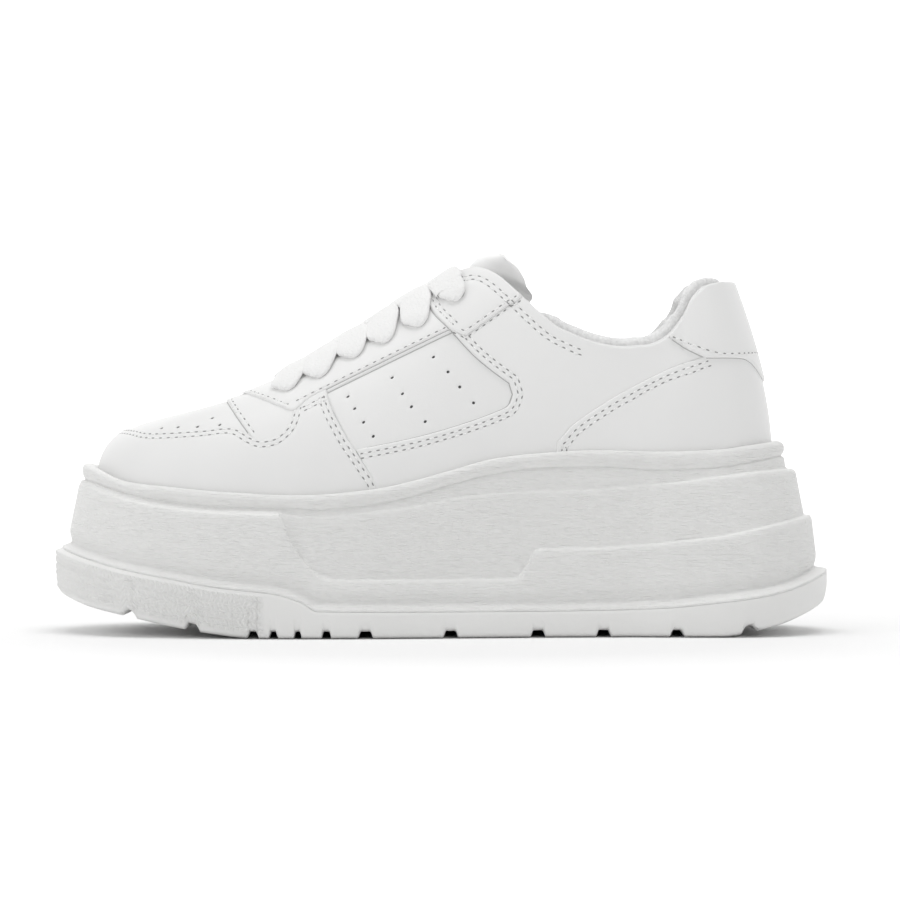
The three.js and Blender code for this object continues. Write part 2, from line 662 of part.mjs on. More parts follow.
const laceClearance = 0.9;
const laceLift = pieceGap + overlayWall + laceClearance + laceThickness / 2;
const laceArch = 1.2;
const laceEdgeLift = 0.5;
const laceEndReach = 2.4;
const laceLean = 0.9;

// The throat edge between two rows of eyelets, by the share of the way from one to the other.
function throatEdge(row, nextRow, share, side) {
  const outerTurn = THREE.MathUtils.lerp(eyeletTurn(row), eyeletTurn(nextRow), share);
  const turn = side < 0 ? outerTurn : 1 - outerTurn;
  return { point: wallPoint(turn, 1), normal: wallNormal(turn, 1), turn };
}

const throatUp = new THREE.Vector3().crossVectors(
  wallPoint(eyeletTurn(eyeletCount - 1), 1).sub(wallPoint(eyeletTurn(0), 1)).setY(0),
  new THREE.Vector3(0, 1, 0),
).normalize();

// Over the eyelet: the ribbon's end, its way up the wall, then its bend over the throat edge.
// The ribbon leans toe-wards, so it meets the edge almost one row further forward.
function laceStart(row, nextRow, lean, side) {
  const { point, normal } = eyelets[side < 0 ? 0 : 1][row];
  const edge = throatEdge(row, nextRow, lean, side);
  const middleTurn = throatEdge(row, nextRow, lean / 2, side).turn;
  let height = 1;
  while (wallPoint(middleTurn, height).distanceTo(wallPoint(middleTurn, 1)) < eyeletInset / 2) {
    height -= 0.005;
  }
  const middleNormal = wallNormal(middleTurn, height);
  const middle = wallPoint(middleTurn, height).addScaledVector(middleNormal, laceLift);
  const start = point.clone().addScaledVector(normal, laceLift);
  const away = start.clone().sub(middle).normalize();
  const edgeUp = edge.normal.clone().add(throatUp).normalize();
  return [
    { point: start.clone().addScaledVector(away, laceEndReach), up: normal },
    { point: start, up: normal },
    { point: middle, up: middleNormal },
    { point: edge.point.clone().addScaledVector(edgeUp, laceLift + laceEdgeLift), up: edgeUp },
  ];
}

function overTongue(row, nextRow, share, y, lift) {
  const point = throatEdge(row, nextRow, share, -1).point.add(throatEdge(row, nextRow, share, 1).point)
    .multiplyScalar(0.5).addScaledVector(throatUp, laceLift + laceEdgeLift + lift);
  return { point: point.setY(y), up: throatUp };
}

function laceBar() {
  return ribbon([
    ...laceStart(0, 1, -laceLean, -1),
    overTongue(0, 1, -laceLean, 0, laceArch),
    ...laceStart(0, 1, -laceLean, 1).reverse(),
  ]);
}

function laceCrossing(row) {
  const strand = (side) => toSolid(ribbon([
    ...laceStart(row, row - 1, laceLean, side),
    overTongue(row, row - 1, laceLean + 0.04, side * 1.5, laceArch),
    overTongue(row, row - 1, laceLean + 0.14, side * -3, laceArch),
  ]));
  return toGeometry(strand(-1).add(strand(1)));
}

// Finishes and assembly.
const rubber = material(0xe4e4e1, 0.55);
const foam = material(0xe9e9e6, 0.6);
const leather = material(0xf1f1f0, 0.42);
const lining = material(0xeeeeec, 0.9);
const sock = material(0xe6e6e4, 0.9);
const cotton = material(0xf7f7f6, 0.85);
const sideReach = ballWidth;

addPiece("outsole", outsole(), rubber);
addPiece("midsole", midsole(), foam);
addPiece("insole", insole(), sock);
addPiece("upper", upper(), leather);
addPiece("toe_guard", toGeometry(overlay("guard", overlays, -sideReach, sideReach)), leather.clone());
addPiece("saddle", toGeometry(overlay("saddle", overlays, -sideReach, sideReach)), leather.clone());
addPiece("eyestay", toGeometry(punched(overlay("eyestay", overlays, -sideReach, sideReach))), leather.clone());
for (const [side, fromY, toY] of [["outer", -sideReach, 0], ["inner", 0, sideReach]]) {
  addPiece(`facing_${side}`, toGeometry(punched(overlay("facing", overlays, fromY, toY))), leather.clone());
  addPiece(`quarter_${side}`, toGeometry(overlay("quarter", overlays, fromY, toY)), leather.clone());
}
addPiece("heel_counter", toGeometry(overlay("counter", overlays, -sideReach, sideReach)), leather.clone());
addPiece("heel_tab", toGeometry(overlay("tab", tabSheet, -sideReach, sideReach)), leather.clone());
addPiece("collar_padding", collarPadding(), lining);
addPiece("tongue", tongue(), leather.clone());
addPiece("lace_bar_1", laceBar(), cotton);
for (let row = 1; row < eyeletCount; row += 1) {
  addPiece(`lace_crossing_${row + 1}`, laceCrossing(row), cotton.clone());
}

// The origin is at the bottom centre of the whole shoe.
const bounds = new THREE.Box3().setFromObject(sneaker);
sneaker.position.set(-(bounds.min.x + bounds.max.x) / 2, -(bounds.min.y + bounds.max.y) / 2, -bounds.min.z);

export default sneaker;
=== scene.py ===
# %% [markdown]
# # A white platform sneaker
# This notebook dresses a left shoe, cell by cell. The solids of the shoe are already made;
# they come in as a fixed frame, and every new piece is drawn round them in the same place.
# We work in millimetres while we think, as a shoemaker does, and turn to metres at the end.

# %% The frame and the units
import math

import bmesh
import bpy
import numpy as np
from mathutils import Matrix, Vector
from mathutils.geometry import delaunay_2d_cdt
from mathutils.kdtree import KDTree


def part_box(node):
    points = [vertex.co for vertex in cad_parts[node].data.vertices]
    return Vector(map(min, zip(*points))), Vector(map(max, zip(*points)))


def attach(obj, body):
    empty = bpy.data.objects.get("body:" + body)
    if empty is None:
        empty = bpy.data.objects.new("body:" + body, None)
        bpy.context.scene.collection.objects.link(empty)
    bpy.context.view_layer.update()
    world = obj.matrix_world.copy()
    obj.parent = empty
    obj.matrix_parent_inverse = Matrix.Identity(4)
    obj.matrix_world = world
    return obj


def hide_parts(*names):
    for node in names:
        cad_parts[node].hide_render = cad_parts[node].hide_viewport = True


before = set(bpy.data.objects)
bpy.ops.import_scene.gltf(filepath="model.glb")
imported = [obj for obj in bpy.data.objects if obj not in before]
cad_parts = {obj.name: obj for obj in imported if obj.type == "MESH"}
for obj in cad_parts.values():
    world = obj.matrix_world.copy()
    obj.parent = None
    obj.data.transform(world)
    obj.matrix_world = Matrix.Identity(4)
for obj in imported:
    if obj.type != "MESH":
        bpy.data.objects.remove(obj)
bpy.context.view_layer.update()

MM = 0.001
print(len(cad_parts), "nodes")

# %% [markdown]
# ## The camera
# The photograph looks level at the outer side of the shoe from a little over a metre away.
# A long lens keeps the toe and the heel from bending away. The camera stands slightly above
# the middle of the sole, so the ledges of the sole show their upper faces as thin bands.

# %% Camera
CAMERA_DISTANCE = 1100.0
CAMERA_HEIGHT = 66.7
CAMERA_ALONG = 3.1
VIEW_WIDTH = 333.0
SENSOR = 36.0

camera_data = bpy.data.cameras.new("camera")
camera_data.sensor_width = SENSOR
camera_data.lens = SENSOR * CAMERA_DISTANCE / VIEW_WIDTH
camera_data.clip_start = 0.05
camera_data.clip_end = 20
camera = bpy.data.objects.new("camera", camera_data)
camera.location = (CAMERA_ALONG * MM, -CAMERA_DISTANCE * MM, CAMERA_HEIGHT * MM)
camera.rotation_euler = (math.radians(90), 0, 0)
bpy.context.scene.collection.objects.link(camera)
bpy.context.scene.camera = camera
print("lens", round(camera_data.lens, 1), "mm")

# %% [markdown]
# ## Floor and light
# Product photographs of white shoes are shot in a tent of white light. A bright world from
# all sides does the same here, and the shadows then gather by themselves under the sole and
# in the grooves. Lamps add a direction to it afterwards.

# %% Floor, world and lamps
scene = bpy.context.scene
scene.view_settings.view_transform = "Standard"
scene.view_settings.look = "None"

FLOOR_HALF = 2.5
WORLD_STRENGTH = 0.53


def socket_set(node, **values):
    for name, value in values.items():
        node.inputs[name.replace("_", " ")].default_value = value


world = bpy.data.worlds.new("white_tent")
world.use_nodes = True
world.node_tree.nodes["Background"].inputs["Color"].default_value = (1, 1, 1, 1)
world.node_tree.nodes["Background"].inputs["Strength"].default_value = WORLD_STRENGTH
scene.world = world

print("world strength", WORLD_STRENGTH)

# %% [markdown]
# ## White paper
# The shoe stands on white paper in front of white paper. The floor glows a little, and more
# so away from the shoe, so that it stays white out there without washing out the shadow.

# %% Floor and backdrop


def paper_sheet(name, corners, color, roughness):
    """A flat sheet of the stage, and the shader of its paper."""
    mesh = bpy.data.meshes.new(name)
    mesh.from_pydata(corners, [], [(0, 1, 2, 3)])
    sheet = bpy.data.objects.new(name, mesh)
    scene.collection.objects.link(sheet)
    paper = bpy.data.materials.new(name + "_paper")
    paper.use_nodes = True
    shader = paper.node_tree.nodes["Principled BSDF"]
    socket_set(shader, Base_Color=color, Roughness=roughness, Emission_Color=(1, 1, 1, 1))
    mesh.materials.append(paper)
    return paper.node_tree, shader


floor_tree, floor_shader = paper_sheet(
    "floor", [(-FLOOR_HALF, -FLOOR_HALF, 0), (FLOOR_HALF, -FLOOR_HALF, 0),
              (FLOOR_HALF, FLOOR_HALF, 0), (-FLOOR_HALF, FLOOR_HALF, 0)], (0.93, 0.93, 0.93, 1), 0.9)
floor_shader.inputs["Specular IOR Level"].default_value = 0
floor_nodes, floor_links = floor_tree.nodes, floor_tree.links
floor_place = floor_nodes.new("ShaderNodeTexCoord")
floor_distance = floor_nodes.new("ShaderNodeVectorMath")
floor_distance.operation = "LENGTH"
floor_glow = floor_nodes.new("ShaderNodeMapRange")
for name, value in (("From Min", 0.14), ("From Max", 0.6), ("To Min", 0.0), ("To Max", 0.45)):
    floor_glow.inputs[name].default_value = value
floor_links.new(floor_place.outputs["Object"], floor_distance.inputs[0])
floor_links.new(floor_distance.outputs["Value"], floor_glow.inputs["Value"])
floor_links.new(floor_glow.outputs["Result"], floor_shader.inputs["Emission Strength"])

BACKDROP_PLACE, BACKDROP_HEIGHT = 2.4, 3.0
_, backdrop_shader = paper_sheet(
    "backdrop", [(-FLOOR_HALF, BACKDROP_PLACE, 0), (FLOOR_HALF, BACKDROP_PLACE, 0),
                 (FLOOR_HALF, BACKDROP_PLACE, BACKDROP_HEIGHT),
                 (-FLOOR_HALF, BACKDROP_PLACE, BACKDROP_HEIGHT)], (0.5, 0.5, 0.5, 1), 1.0)
backdrop_shader.inputs["Emission Strength"].default_value = 1.0

print("floor", 2 * FLOOR_HALF, "m wide")

# %% [markdown]
# ## Lamps
# Area lamps are like soft boxes: the larger the lamp, the softer its shadow. Each one is
# turned to face the shoe by a track quaternion. One above and in front gives the leather its
# gradient, a weaker one at the toe and a faint one at the heel keep the far edges apart.

# %% Lamps


def add_lamp(name, place, target, size, power):
    data = bpy.data.lights.new(name, "AREA")
    data.shape = "RECTANGLE"
    data.size, data.size_y = size
    data.energy = power
    lamp = bpy.data.objects.new(name, data)
    lamp.location = place
    lamp.rotation_euler = (Vector(target) - Vector(place)).to_track_quat("-Z", "Y").to_euler()
    scene.collection.objects.link(lamp)


add_lamp("top_lamp", (0.0, -0.12, 1.1), (0, 0, 0.06), (0.9, 0.6), 5.0)
add_lamp("toe_lamp", (-0.8, -0.5, 0.5), (0, 0, 0.06), (0.5, 0.5), 1.3)
add_lamp("heel_lamp", (0.8, -0.8, 0.3), (0.05, 0, 0.06), (0.6, 0.4), 0.4)
print([light.name for light in bpy.data.lights])

# %% [markdown]
# ## The last
# A shoe is built over a last, a form of the foot. Its plan, the foot line, is drawn through
# a few sections: heel back, heel corner, waist, ball, toe. Each section also tells where the
# top line stands and how the wall bends between the two. Smooth curves join the sections, so
# one function gives every point of the upper. All later pieces ask this function where they
# lie, which is why nothing floats or cuts through its neighbour.

# %% Sizes and section tables
UPPER_LENGTH = 246.4
BALL_WIDTH = 88.0
TOE_X = -126.7
PLATFORM_HEIGHT = 70.0
COLLAR_RISE = 58.0
HALF_WIDTH = BALL_WIDTH / 2
PIECE_GAP = 0.3
LEDGE_ROOM = 2.6
SHOULDER_ROOM = 1.6

# along, outer, inner, top along, top across, top up, rise, bulge, out, down: all in per cent
SECTIONS = {
    "heel back": (100, 0, 0, 94.2, 0, 99.1, 41, 1.6, 10, 27),
    "heel corner": (96.1, 50.5, 49, 91.6, 37.5, 97, 41, 1.8, 9, 28),
    "heel side": (86.3, 71.6, 70.5, 87.3, 54.5, 81, 34, 1.8, 7, 31),
    "ankle back": (77, 76, 72.7, 80.2, 66, 59, 26, 1.4, 4, 21),
    "ankle front": (68, 79.5, 71.6, 72.1, 68, 63.1, 27, 1.4, 5, 21),
    "waist": (58.3, 86.4, 75, 64, 60, 85.5, 41, 1.6, 13, 31),
    "instep": (47.8, 94.3, 83, 56.3, 41, 105.5, 55, 2, 27, 31),
    "lace rows": (37.6, 100, 93, 48.2, 30.7, 89.6, 59, 2.6, 32, 29),
    "ball": (27, 100, 100, 38.4, 28.4, 63.8, 55, 3.4, 34, 24),
    "forefoot": (16.5, 92, 97, 29.7, 26, 42.2, 52, 4.3, 38, 19),
    "toe corner": (6.2, 65, 73, 25.6, 17, 33.8, 58, 4.6, 55, 22),
    "toe": (0, -6.8, 6.8, 24.4, 0, 31.6, 61, 4.8, 59, 26),
}
# along, ground, parting, shoulder, groove, rim, bed: heights in per cent of the platform
SOLE_ROWS = np.array([
    (-6.2, 20, 45, 79, 82, 94, 68.6), (-0.5, 14.6, 39.6, 75.6, 78.6, 87.5, 68.6),
    (5.6, 10.6, 34.6, 70, 73, 79.5, 68.6), (12, 6, 30.6, 66.2, 69.1, 77, 66.4),
    (19, 2.1, 26.4, 64, 66.7, 74.7, 64.3), (24.6, 0.1, 24.3, 63.5, 66.2, 73.6, 63.3),
    (27.5, 0, 23.1, 63.2, 65.9, 73, 62.9), (31.1, 0, 19.3, 61.2, 65.5, 72.9, 62.9),
    (33.8, 0, 14.4, 61, 65.2, 73.2, 63.1), (41.7, 0, 14.1, 63.6, 67.9, 76, 65.7),
    (46.6, 0, 14, 65.6, 71.4, 79.5, 69), (53, 0, 14, 70, 78.1, 85.7, 74.3),
    (58.7, 0, 14, 72.3, 83, 91.2, 79), (64.4, 0, 14, 73.6, 85.9, 93.8, 82.6),
    (74.1, 0, 14.3, 74.7, 86.9, 95.7, 84.9), (83.5, 0, 15.4, 77.6, 85.3, 95, 85.4),
    (91.6, 0, 18.3, 81, 86.3, 96, 85.7), (96.9, 2.9, 20.6, 83.4, 89.1, 98.4, 85.9),
    (101.3, 6.4, 23.6, 84.7, 91.9, 100.6, 86), (109.1, 15.7, 32.6, 86.4, 94.3, 102.8, 86.1),
])
LEDGE_ROWS = np.array([
    (-6.2, 95), (20, 80), (27.8, 64.6), (29.6, 49.4), (31.2, 40.3), (34.3, 30.7), (36.6, 29.1),
    (62, 29.1), (63.3, 33.7), (64.2, 40.3), (65.2, 44.3), (74.1, 44.9), (90.4, 50.1),
    (100.9, 57.3), (109.1, 63),
])

# along, rise of the top line over the sweep from section to section
TOP_TRIM = np.array([
    (54, 0), (57, 1.6), (60, 2.8), (63.6, 1.4), (65.6, -0.8), (68, -1.8), (71, 0), (79.6, 0), (82.4, -3.4),
    (84.6, -5.2), (86.6, -2.4), (88.3, 5), (89.6, 5.4), (91, 2.4), (92.6, 0),
])
print(len(SECTIONS), "sections,", len(SOLE_ROWS), "rows of the sole")

# %% [markdown]
# ## Curves through the tables
# A last has fair curves, with no flat spot or bump between two sections. One curve reads a
# column of a table and never swings past its values. Another runs through a closed round of
# points. Blender has curve objects too, but a function can be asked for any point between.

# %% Curves through the tables


def column(xs, ys):
    """A smooth reading of a table column that never overshoots between two rows."""
    steps = np.diff(ys) / np.diff(xs)
    before = np.concatenate([steps[:1], steps])
    after = np.concatenate([steps, steps[-1:]])
    total = np.where(before + after == 0, 1, before + after)
    slopes = np.where(before * after <= 0, 0, 2 * before * after / total)

    def read(x):
        x = np.asarray(x, dtype=float)
        i = np.clip(np.searchsorted(xs, x) - 1, 0, len(xs) - 2)
        width = xs[i + 1] - xs[i]
        t = np.clip((x - xs[i]) / width, 0, 1)
        s = 1 - t
        return (ys[i] * s * s * (1 + 2 * t) + ys[i + 1] * t * t * (1 + 2 * s)
                + width * s * t * (slopes[i] * s - slopes[i + 1] * t))
    return read


def run_length(points):
    """How far each point of a run lies from the first one, measured along the run."""
    return np.concatenate([[0], np.cumsum(np.linalg.norm(np.diff(points, axis=0), axis=1))])


def cubic(before, start, end, beyond, t):
    """The smooth curve between two points that also looks at the points next to them."""
    return 0.5 * (2 * start + (end - before) * t + (2 * before - 5 * start + 4 * end - beyond) * t ** 2
                  + (3 * start - before - 3 * end + beyond) * t ** 3)


def closed_curve(points):
    """Cubic pieces through a closed round of points; the turn runs from 0 to 1."""
    points = np.array(points, dtype=float)
    count = len(points)
    before, here = np.roll(points, 1, 0), points
    after, beyond = np.roll(points, -1, 0), np.roll(points, -2, 0)

    def reach(a, b):
        return np.maximum(np.sum((b - a) ** 2, 1, keepdims=True) ** 0.25, 1e-4)
    d0, d1, d2 = reach(before, here), reach(here, after), reach(after, beyond)
    start = ((here - before) / d0 - (after - before) / (d0 + d1) + (after - here) / d1) * d1
    end = ((after - here) / d1 - (beyond - here) / (d1 + d2) + (beyond - after) / d2) * d1

    def at(turn):
        place = (np.asarray(turn, dtype=float) % 1) * count
        i = np.minimum(place.astype(int), count - 1)
        w = (place - i)[..., None]
        a, b, m, n = here[i], after[i], start[i], end[i]
        return a + m * w + (3 * (b - a) - 2 * m - n) * w ** 2 + (2 * (a - b) + m + n) * w ** 3
    return at

# %% [markdown]
# ## From per cent to millimetres
# The tables are in per cent, so one last can be made in any size. These small functions turn
# a share of the length or of the height into millimetres and back, and name each column.

# %% From per cent to millimetres


def along_of(x):
    return 100 * (np.asarray(x) - TOE_X) / UPPER_LENGTH


def x_of(along):
    return TOE_X + np.asarray(along) / 100 * UPPER_LENGTH


def up_of(up):
    return PLATFORM_HEIGHT + np.asarray(up) / 100 * COLLAR_RISE


def height_line(table, index):
    share = column(table[:, 0], table[:, index])
    return lambda x: share(along_of(x)) / 100 * PLATFORM_HEIGHT


ground_at, parting_at, raw_shoulder_at, groove_at, rim_at, bed_at = [
    height_line(SOLE_ROWS, index) for index in range(1, 7)]
raw_ledge_at = height_line(LEDGE_ROWS, 1)


def ledge_at(x):
    return np.minimum(raw_ledge_at(x), groove_at(x) - LEDGE_ROOM)


def shoulder_at(x):
    return np.minimum(np.maximum(raw_shoulder_at(x), ledge_at(x) + 1), groove_at(x) - SHOULDER_ROOM)


trim_at = column(TOP_TRIM[:, 0], TOP_TRIM[:, 1])
section_rows = list(SECTIONS.values())
ROUND = [(row, -1, row[1]) for row in section_rows] + [(row, 1, row[2]) for row in section_rows[-2:0:-1]]
COUNT = len(ROUND)
foot_curve = closed_curve([(x_of(r[0]), side * across / 100 * HALF_WIDTH, 0) for r, side, across in ROUND])
top_curve = closed_curve([(x_of(r[3]), side * r[4] / 100 * HALF_WIDTH, up_of(r[5])) for r, side, _ in ROUND])
bend_curve = closed_curve([np.array(r[6:10]) * COLLAR_RISE / 100 for r, _, _ in ROUND])
TOE_TURN = 0.5
print("foot line from", foot_curve(TOE_TURN).round(1), "to", foot_curve(0).round(1))

# %% [markdown]
# ## The wall of the upper
# From the foot line to the top line the wall is one bent curve at each station, with two
# handles like a Bezier curve in Blender. The turn goes round the foot and the height goes up
# the wall. An offset moves a point out along the normal, which gives a panel its thickness.

# %% The wall of the upper


def plan_normal(turn):
    step = 1e-4
    tangent = foot_curve(turn + step) - foot_curve(turn - step)
    normal = np.stack([-tangent[..., 1], tangent[..., 0], np.zeros_like(tangent[..., 0])], -1)
    return normal / np.linalg.norm(normal, axis=-1, keepdims=True)


def wall_point(turn, height):
    """A point of the upper's outside, in mm: turn goes round the foot, height up the wall."""
    turn, height = np.broadcast_arrays(np.asarray(turn, float), np.asarray(height, float))
    foot, top, bend = foot_curve(turn), top_curve(turn), bend_curve(turn)
    foot[..., 2] = bed_at(foot[..., 0]) + PIECE_GAP
    top[..., 2] += trim_at(along_of(top[..., 0])) / 100 * COLLAR_RISE
    lower = foot + plan_normal(turn) * bend[..., 1:2]
    lower[..., 2] += bend[..., 0]
    away = foot - top
    away[..., 2] = 0
    away /= np.linalg.norm(away, axis=-1, keepdims=True)
    upper = top + away * bend[..., 2:3]
    upper[..., 2] -= bend[..., 3]
    h = height[..., None]
    g = 1 - h
    return foot * g ** 3 + 3 * lower * g * g * h + 3 * upper * g * h * h + top * h ** 3


def wall_slopes(turn, height):
    step = 1e-3
    low, high = np.maximum(height - step, 0), np.minimum(height + step, 1)
    around = (wall_point(turn + step, height) - wall_point(turn - step, height)) / (2 * step)
    upward = (wall_point(turn, high) - wall_point(turn, low)) / (high - low)[..., None]
    return around, upward


def wall_at(turn, height, offset=0.0):
    turn, height = np.broadcast_arrays(np.asarray(turn, float), np.asarray(height, float))
    around, upward = wall_slopes(turn, height)
    normal = np.cross(upward, around)
    normal /= np.linalg.norm(normal, axis=-1, keepdims=True)
    return wall_point(turn, height) + normal * np.asarray(offset, float)[..., None]


# The frame is centred on its box, so the drawing is moved by the same small step.
sample_turns = np.linspace(0, 1, 67)[:-1]
sample_heights = np.array([0, 0.17, 0.35, 0.53, 0.71, 0.87, 1])
drawn = wall_point(sample_turns[None, :], sample_heights[:, None]).reshape(-1, 3)
framed = np.array(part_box("upper")) / MM
SHIFT = framed.mean(0) - (drawn.min(0) + drawn.max(0)) / 2
SHIFT[2] = framed[1][2] - drawn[:, 2].max()
print("step from drawing to frame in mm", SHIFT.round(2))

# %% [markdown]
# ## Turning points into meshes
# Nearly everything here is a grid of points: rings stacked up the sole, strips along a seam.
# Smooth shading comes with a limit on the angle, so crisp edges stay crisp.

# %% Mesh helpers
LIMIT_ANGLE = math.radians(38)


def weld(obj, distance=1e-6):
    mesh = bmesh.new()
    mesh.from_mesh(obj.data)
    bmesh.ops.remove_doubles(mesh, verts=mesh.verts, dist=distance)
    bmesh.ops.dissolve_degenerate(mesh, edges=mesh.edges, dist=1e-7)
    bmesh.ops.recalc_face_normals(mesh, faces=mesh.faces)
    mesh.to_mesh(obj.data)
    mesh.free()


def add_piece(name, points, faces, material, replaces=(), angle=LIMIT_ANGLE):
    """Makes one piece from points in mm, and says where it belongs."""
    mesh = bpy.data.meshes.new(name)
    moved = (np.asarray(points, float) + SHIFT) * MM
    mesh.from_pydata(moved.tolist(), [], [tuple(int(v) for v in face) for face in faces])
    mesh.materials.append(material)
    piece = bpy.data.objects.new(name, mesh)
    scene.collection.objects.link(piece)
    weld(piece)
    mesh.shade_smooth()
    mesh.set_sharp_from_angle(angle=angle)
    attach(piece, "root")
    if replaces:
        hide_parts(*replaces)
    return piece


print("edges sharper than", round(math.degrees(LIMIT_ANGLE)), "degrees stay crisp")

# %% [markdown]
# ## Grids, caps and soft corners
# A grid of points needs faces between its rows, a cap closes a ring, and a stack of rings
# gets extra rows round each ledge. No real moulding has a perfectly sharp edge, and the small
# radius catches the light that draws the line.

# %% Grids, caps and soft corners


def grid_faces(rows_count, columns, closed_rows=False, closed_columns=True, start=0):
    faces = []
    for j in range(rows_count if closed_rows else rows_count - 1):
        for i in range(columns if closed_columns else columns - 1):
            a = start + j * columns + i
            b = start + j * columns + (i + 1) % columns
            c = start + ((j + 1) % rows_count) * columns + (i + 1) % columns
            d = start + ((j + 1) % rows_count) * columns + i
            faces.append((a, b, c, d))
    return faces


def cap_faces(start, count):
    """Closes a ring whose points i and count - i face each other."""
    faces = []
    for i in range(count // 2):
        quad = [start + i, start + i + 1, start + count - i - 1, start + (count - i) % count]
        unique = list(dict.fromkeys(quad))
        if len(unique) > 2:
            faces.append(unique)
    return faces


def round_corners(lines, radii, steps=4):
    """Rounds each inner line of a stack of rings, so that ledges get soft edges."""
    result = [lines[0]]
    for before, here, after, radius in zip(lines, lines[1:], lines[2:], radii[1:-1]):
        back, ahead = before - here, after - here
        back_length = np.maximum(np.linalg.norm(back, axis=1, keepdims=True), 1e-6)
        ahead_length = np.maximum(np.linalg.norm(ahead, axis=1, keepdims=True), 1e-6)
        start = here + back / back_length * np.minimum(radius, back_length * 0.45)
        end = here + ahead / ahead_length * np.minimum(radius, ahead_length * 0.45)
        for step in range(steps + 1):
            t = step / steps
            result.append(start * (1 - t) ** 2 + 2 * here * t * (1 - t) + end * t * t)
    result.append(lines[-1])
    return result


def fill_rows(lines, spacing):
    """Adds rows between two rings that lie further apart than the spacing."""
    result = [lines[0]]
    for low, high in zip(lines, lines[1:]):
        gap = np.linalg.norm(high - low, axis=1).max()
        count = max(1, int(round(gap / spacing)))
        result += [low + (high - low) * (k + 1) / count for k in range(count)]
    return result


print("faces of a grid of 3 by 4 points:", len(grid_faces(3, 4)))

# %% [markdown]
# ## Materials
# Everything on the shoe is white, so the materials must differ in other ways: the smooth
# leather has a fine grain and a soft sheen, the moulded sole is duller and a little greyer,
# the laces are matt and fuzzy. Each one is a node material whose bump is measured in the
# shoe's own space, because a texture that follows the object keeps its scale on every piece.

# %% Material helpers


def new_material(name, color, roughness, specular=0.5):
    material = bpy.data.materials.new(name)
    material.use_nodes = True
    shader = material.node_tree.nodes["Principled BSDF"]
    shader.inputs["Base Color"].default_value = (*color, 1)
    shader.inputs["Roughness"].default_value = roughness
    shader.inputs["Specular IOR Level"].default_value = specular
    return material, material.node_tree.nodes, material.node_tree.links, shader


def object_space(nodes, links, scale):
    place = nodes.new("ShaderNodeTexCoord")
    mapping = nodes.new("ShaderNodeMapping")
    mapping.inputs["Scale"].default_value = scale
    links.new(place.outputs["Object"], mapping.inputs["Vector"])
    return mapping.outputs["Vector"]


def add_bump(nodes, links, shader, height, strength, distance):
    bump = nodes.new("ShaderNodeBump")
    bump.inputs["Strength"].default_value = strength
    bump.inputs["Distance"].default_value = distance
    links.new(height, bump.inputs["Height"])
    links.new(bump.outputs["Normal"], shader.inputs["Normal"])


def tint_with_noise(nodes, links, shader, vector, scale, light, dark):
    """A faint change of tone, because no real white is the same all over."""
    noise = nodes.new("ShaderNodeTexNoise")
    noise.inputs["Scale"].default_value = scale
    noise.inputs["Detail"].default_value = 3
    ramp = nodes.new("ShaderNodeValToRGB")
    ramp.color_ramp.elements[0].position = 0.3
    ramp.color_ramp.elements[1].position = 0.7
    ramp.color_ramp.elements[0].color = (*dark, 1)
    ramp.color_ramp.elements[1].color = (*light, 1)
    links.new(vector, noise.inputs["Vector"])
    links.new(noise.outputs["Fac"], ramp.inputs["Fac"])
    links.new(ramp.outputs["Color"], shader.inputs["Base Color"])


# %% [markdown]
# ## Leather, foam and rubber
# Smooth leather has pores below a millimetre and a slower unevenness between them, so its
# bump adds a cell pattern and a noise. Foam and rubber copy the etched wall of their mould.
# The grain of the foam is stretched along the shoe, like the grain of wood.

# %% Leather, foam and rubber


def make_leather(name, light, dark, grain_size):
    material, nodes, links, shader = new_material(name, light, 0.46, 0.4)
    vector = object_space(nodes, links, (1, 1, 1))
    tint_with_noise(nodes, links, shader, vector, 26, light, dark)
    grain = nodes.new("ShaderNodeTexVoronoi")
    grain.feature = "SMOOTH_F1"
    grain.inputs["Scale"].default_value = 1 / (grain_size * MM)
    links.new(vector, grain.inputs["Vector"])
    soft = nodes.new("ShaderNodeTexNoise")
    soft.inputs["Scale"].default_value = 240
    soft.inputs["Detail"].default_value = 2
    links.new(vector, soft.inputs["Vector"])
    mix = nodes.new("ShaderNodeMath")
    mix.operation = "ADD"
    links.new(grain.outputs["Distance"], mix.inputs[0])
    links.new(soft.outputs["Fac"], mix.inputs[1])
    add_bump(nodes, links, shader, mix.outputs[0], 0.16, 0.00012)
    return material


def make_moulded(name, light, dark, stretch, strength, roughness):
    """Foam or rubber from a tool whose walls were etched with a fine grain."""
    material, nodes, links, shader = new_material(name, light, roughness, 0.32)
    vector = object_space(nodes, links, (1, 1, 1))
    tint_with_noise(nodes, links, shader, vector, 18, light, dark)
    fine = object_space(nodes, links, stretch)
    noise = nodes.new("ShaderNodeTexNoise")
    noise.inputs["Scale"].default_value = 900
    noise.inputs["Detail"].default_value = 3
    noise.inputs["Roughness"].default_value = 0.65
    links.new(fine, noise.inputs["Vector"])
    add_bump(nodes, links, shader, noise.outputs["Fac"], strength, 0.0009)
    return material


leather = make_leather("smooth_leather", (0.825, 0.825, 0.82), (0.81, 0.81, 0.805), 0.55)
base_leather = make_leather("base_leather", (0.81, 0.81, 0.805), (0.795, 0.795, 0.79), 0.5)
FOAM_GRAIN = (0.17, 0.17, 1.6)
foam = make_moulded("midsole_foam", (0.845, 0.845, 0.835), (0.825, 0.825, 0.815), FOAM_GRAIN, 1.0, 0.6)
rubber = make_moulded("outsole_rubber", (0.83, 0.83, 0.82), (0.805, 0.805, 0.795), (1, 1, 1), 0.15, 0.5)
print("materials:", [material.name for material in (leather, base_leather, foam, rubber)])

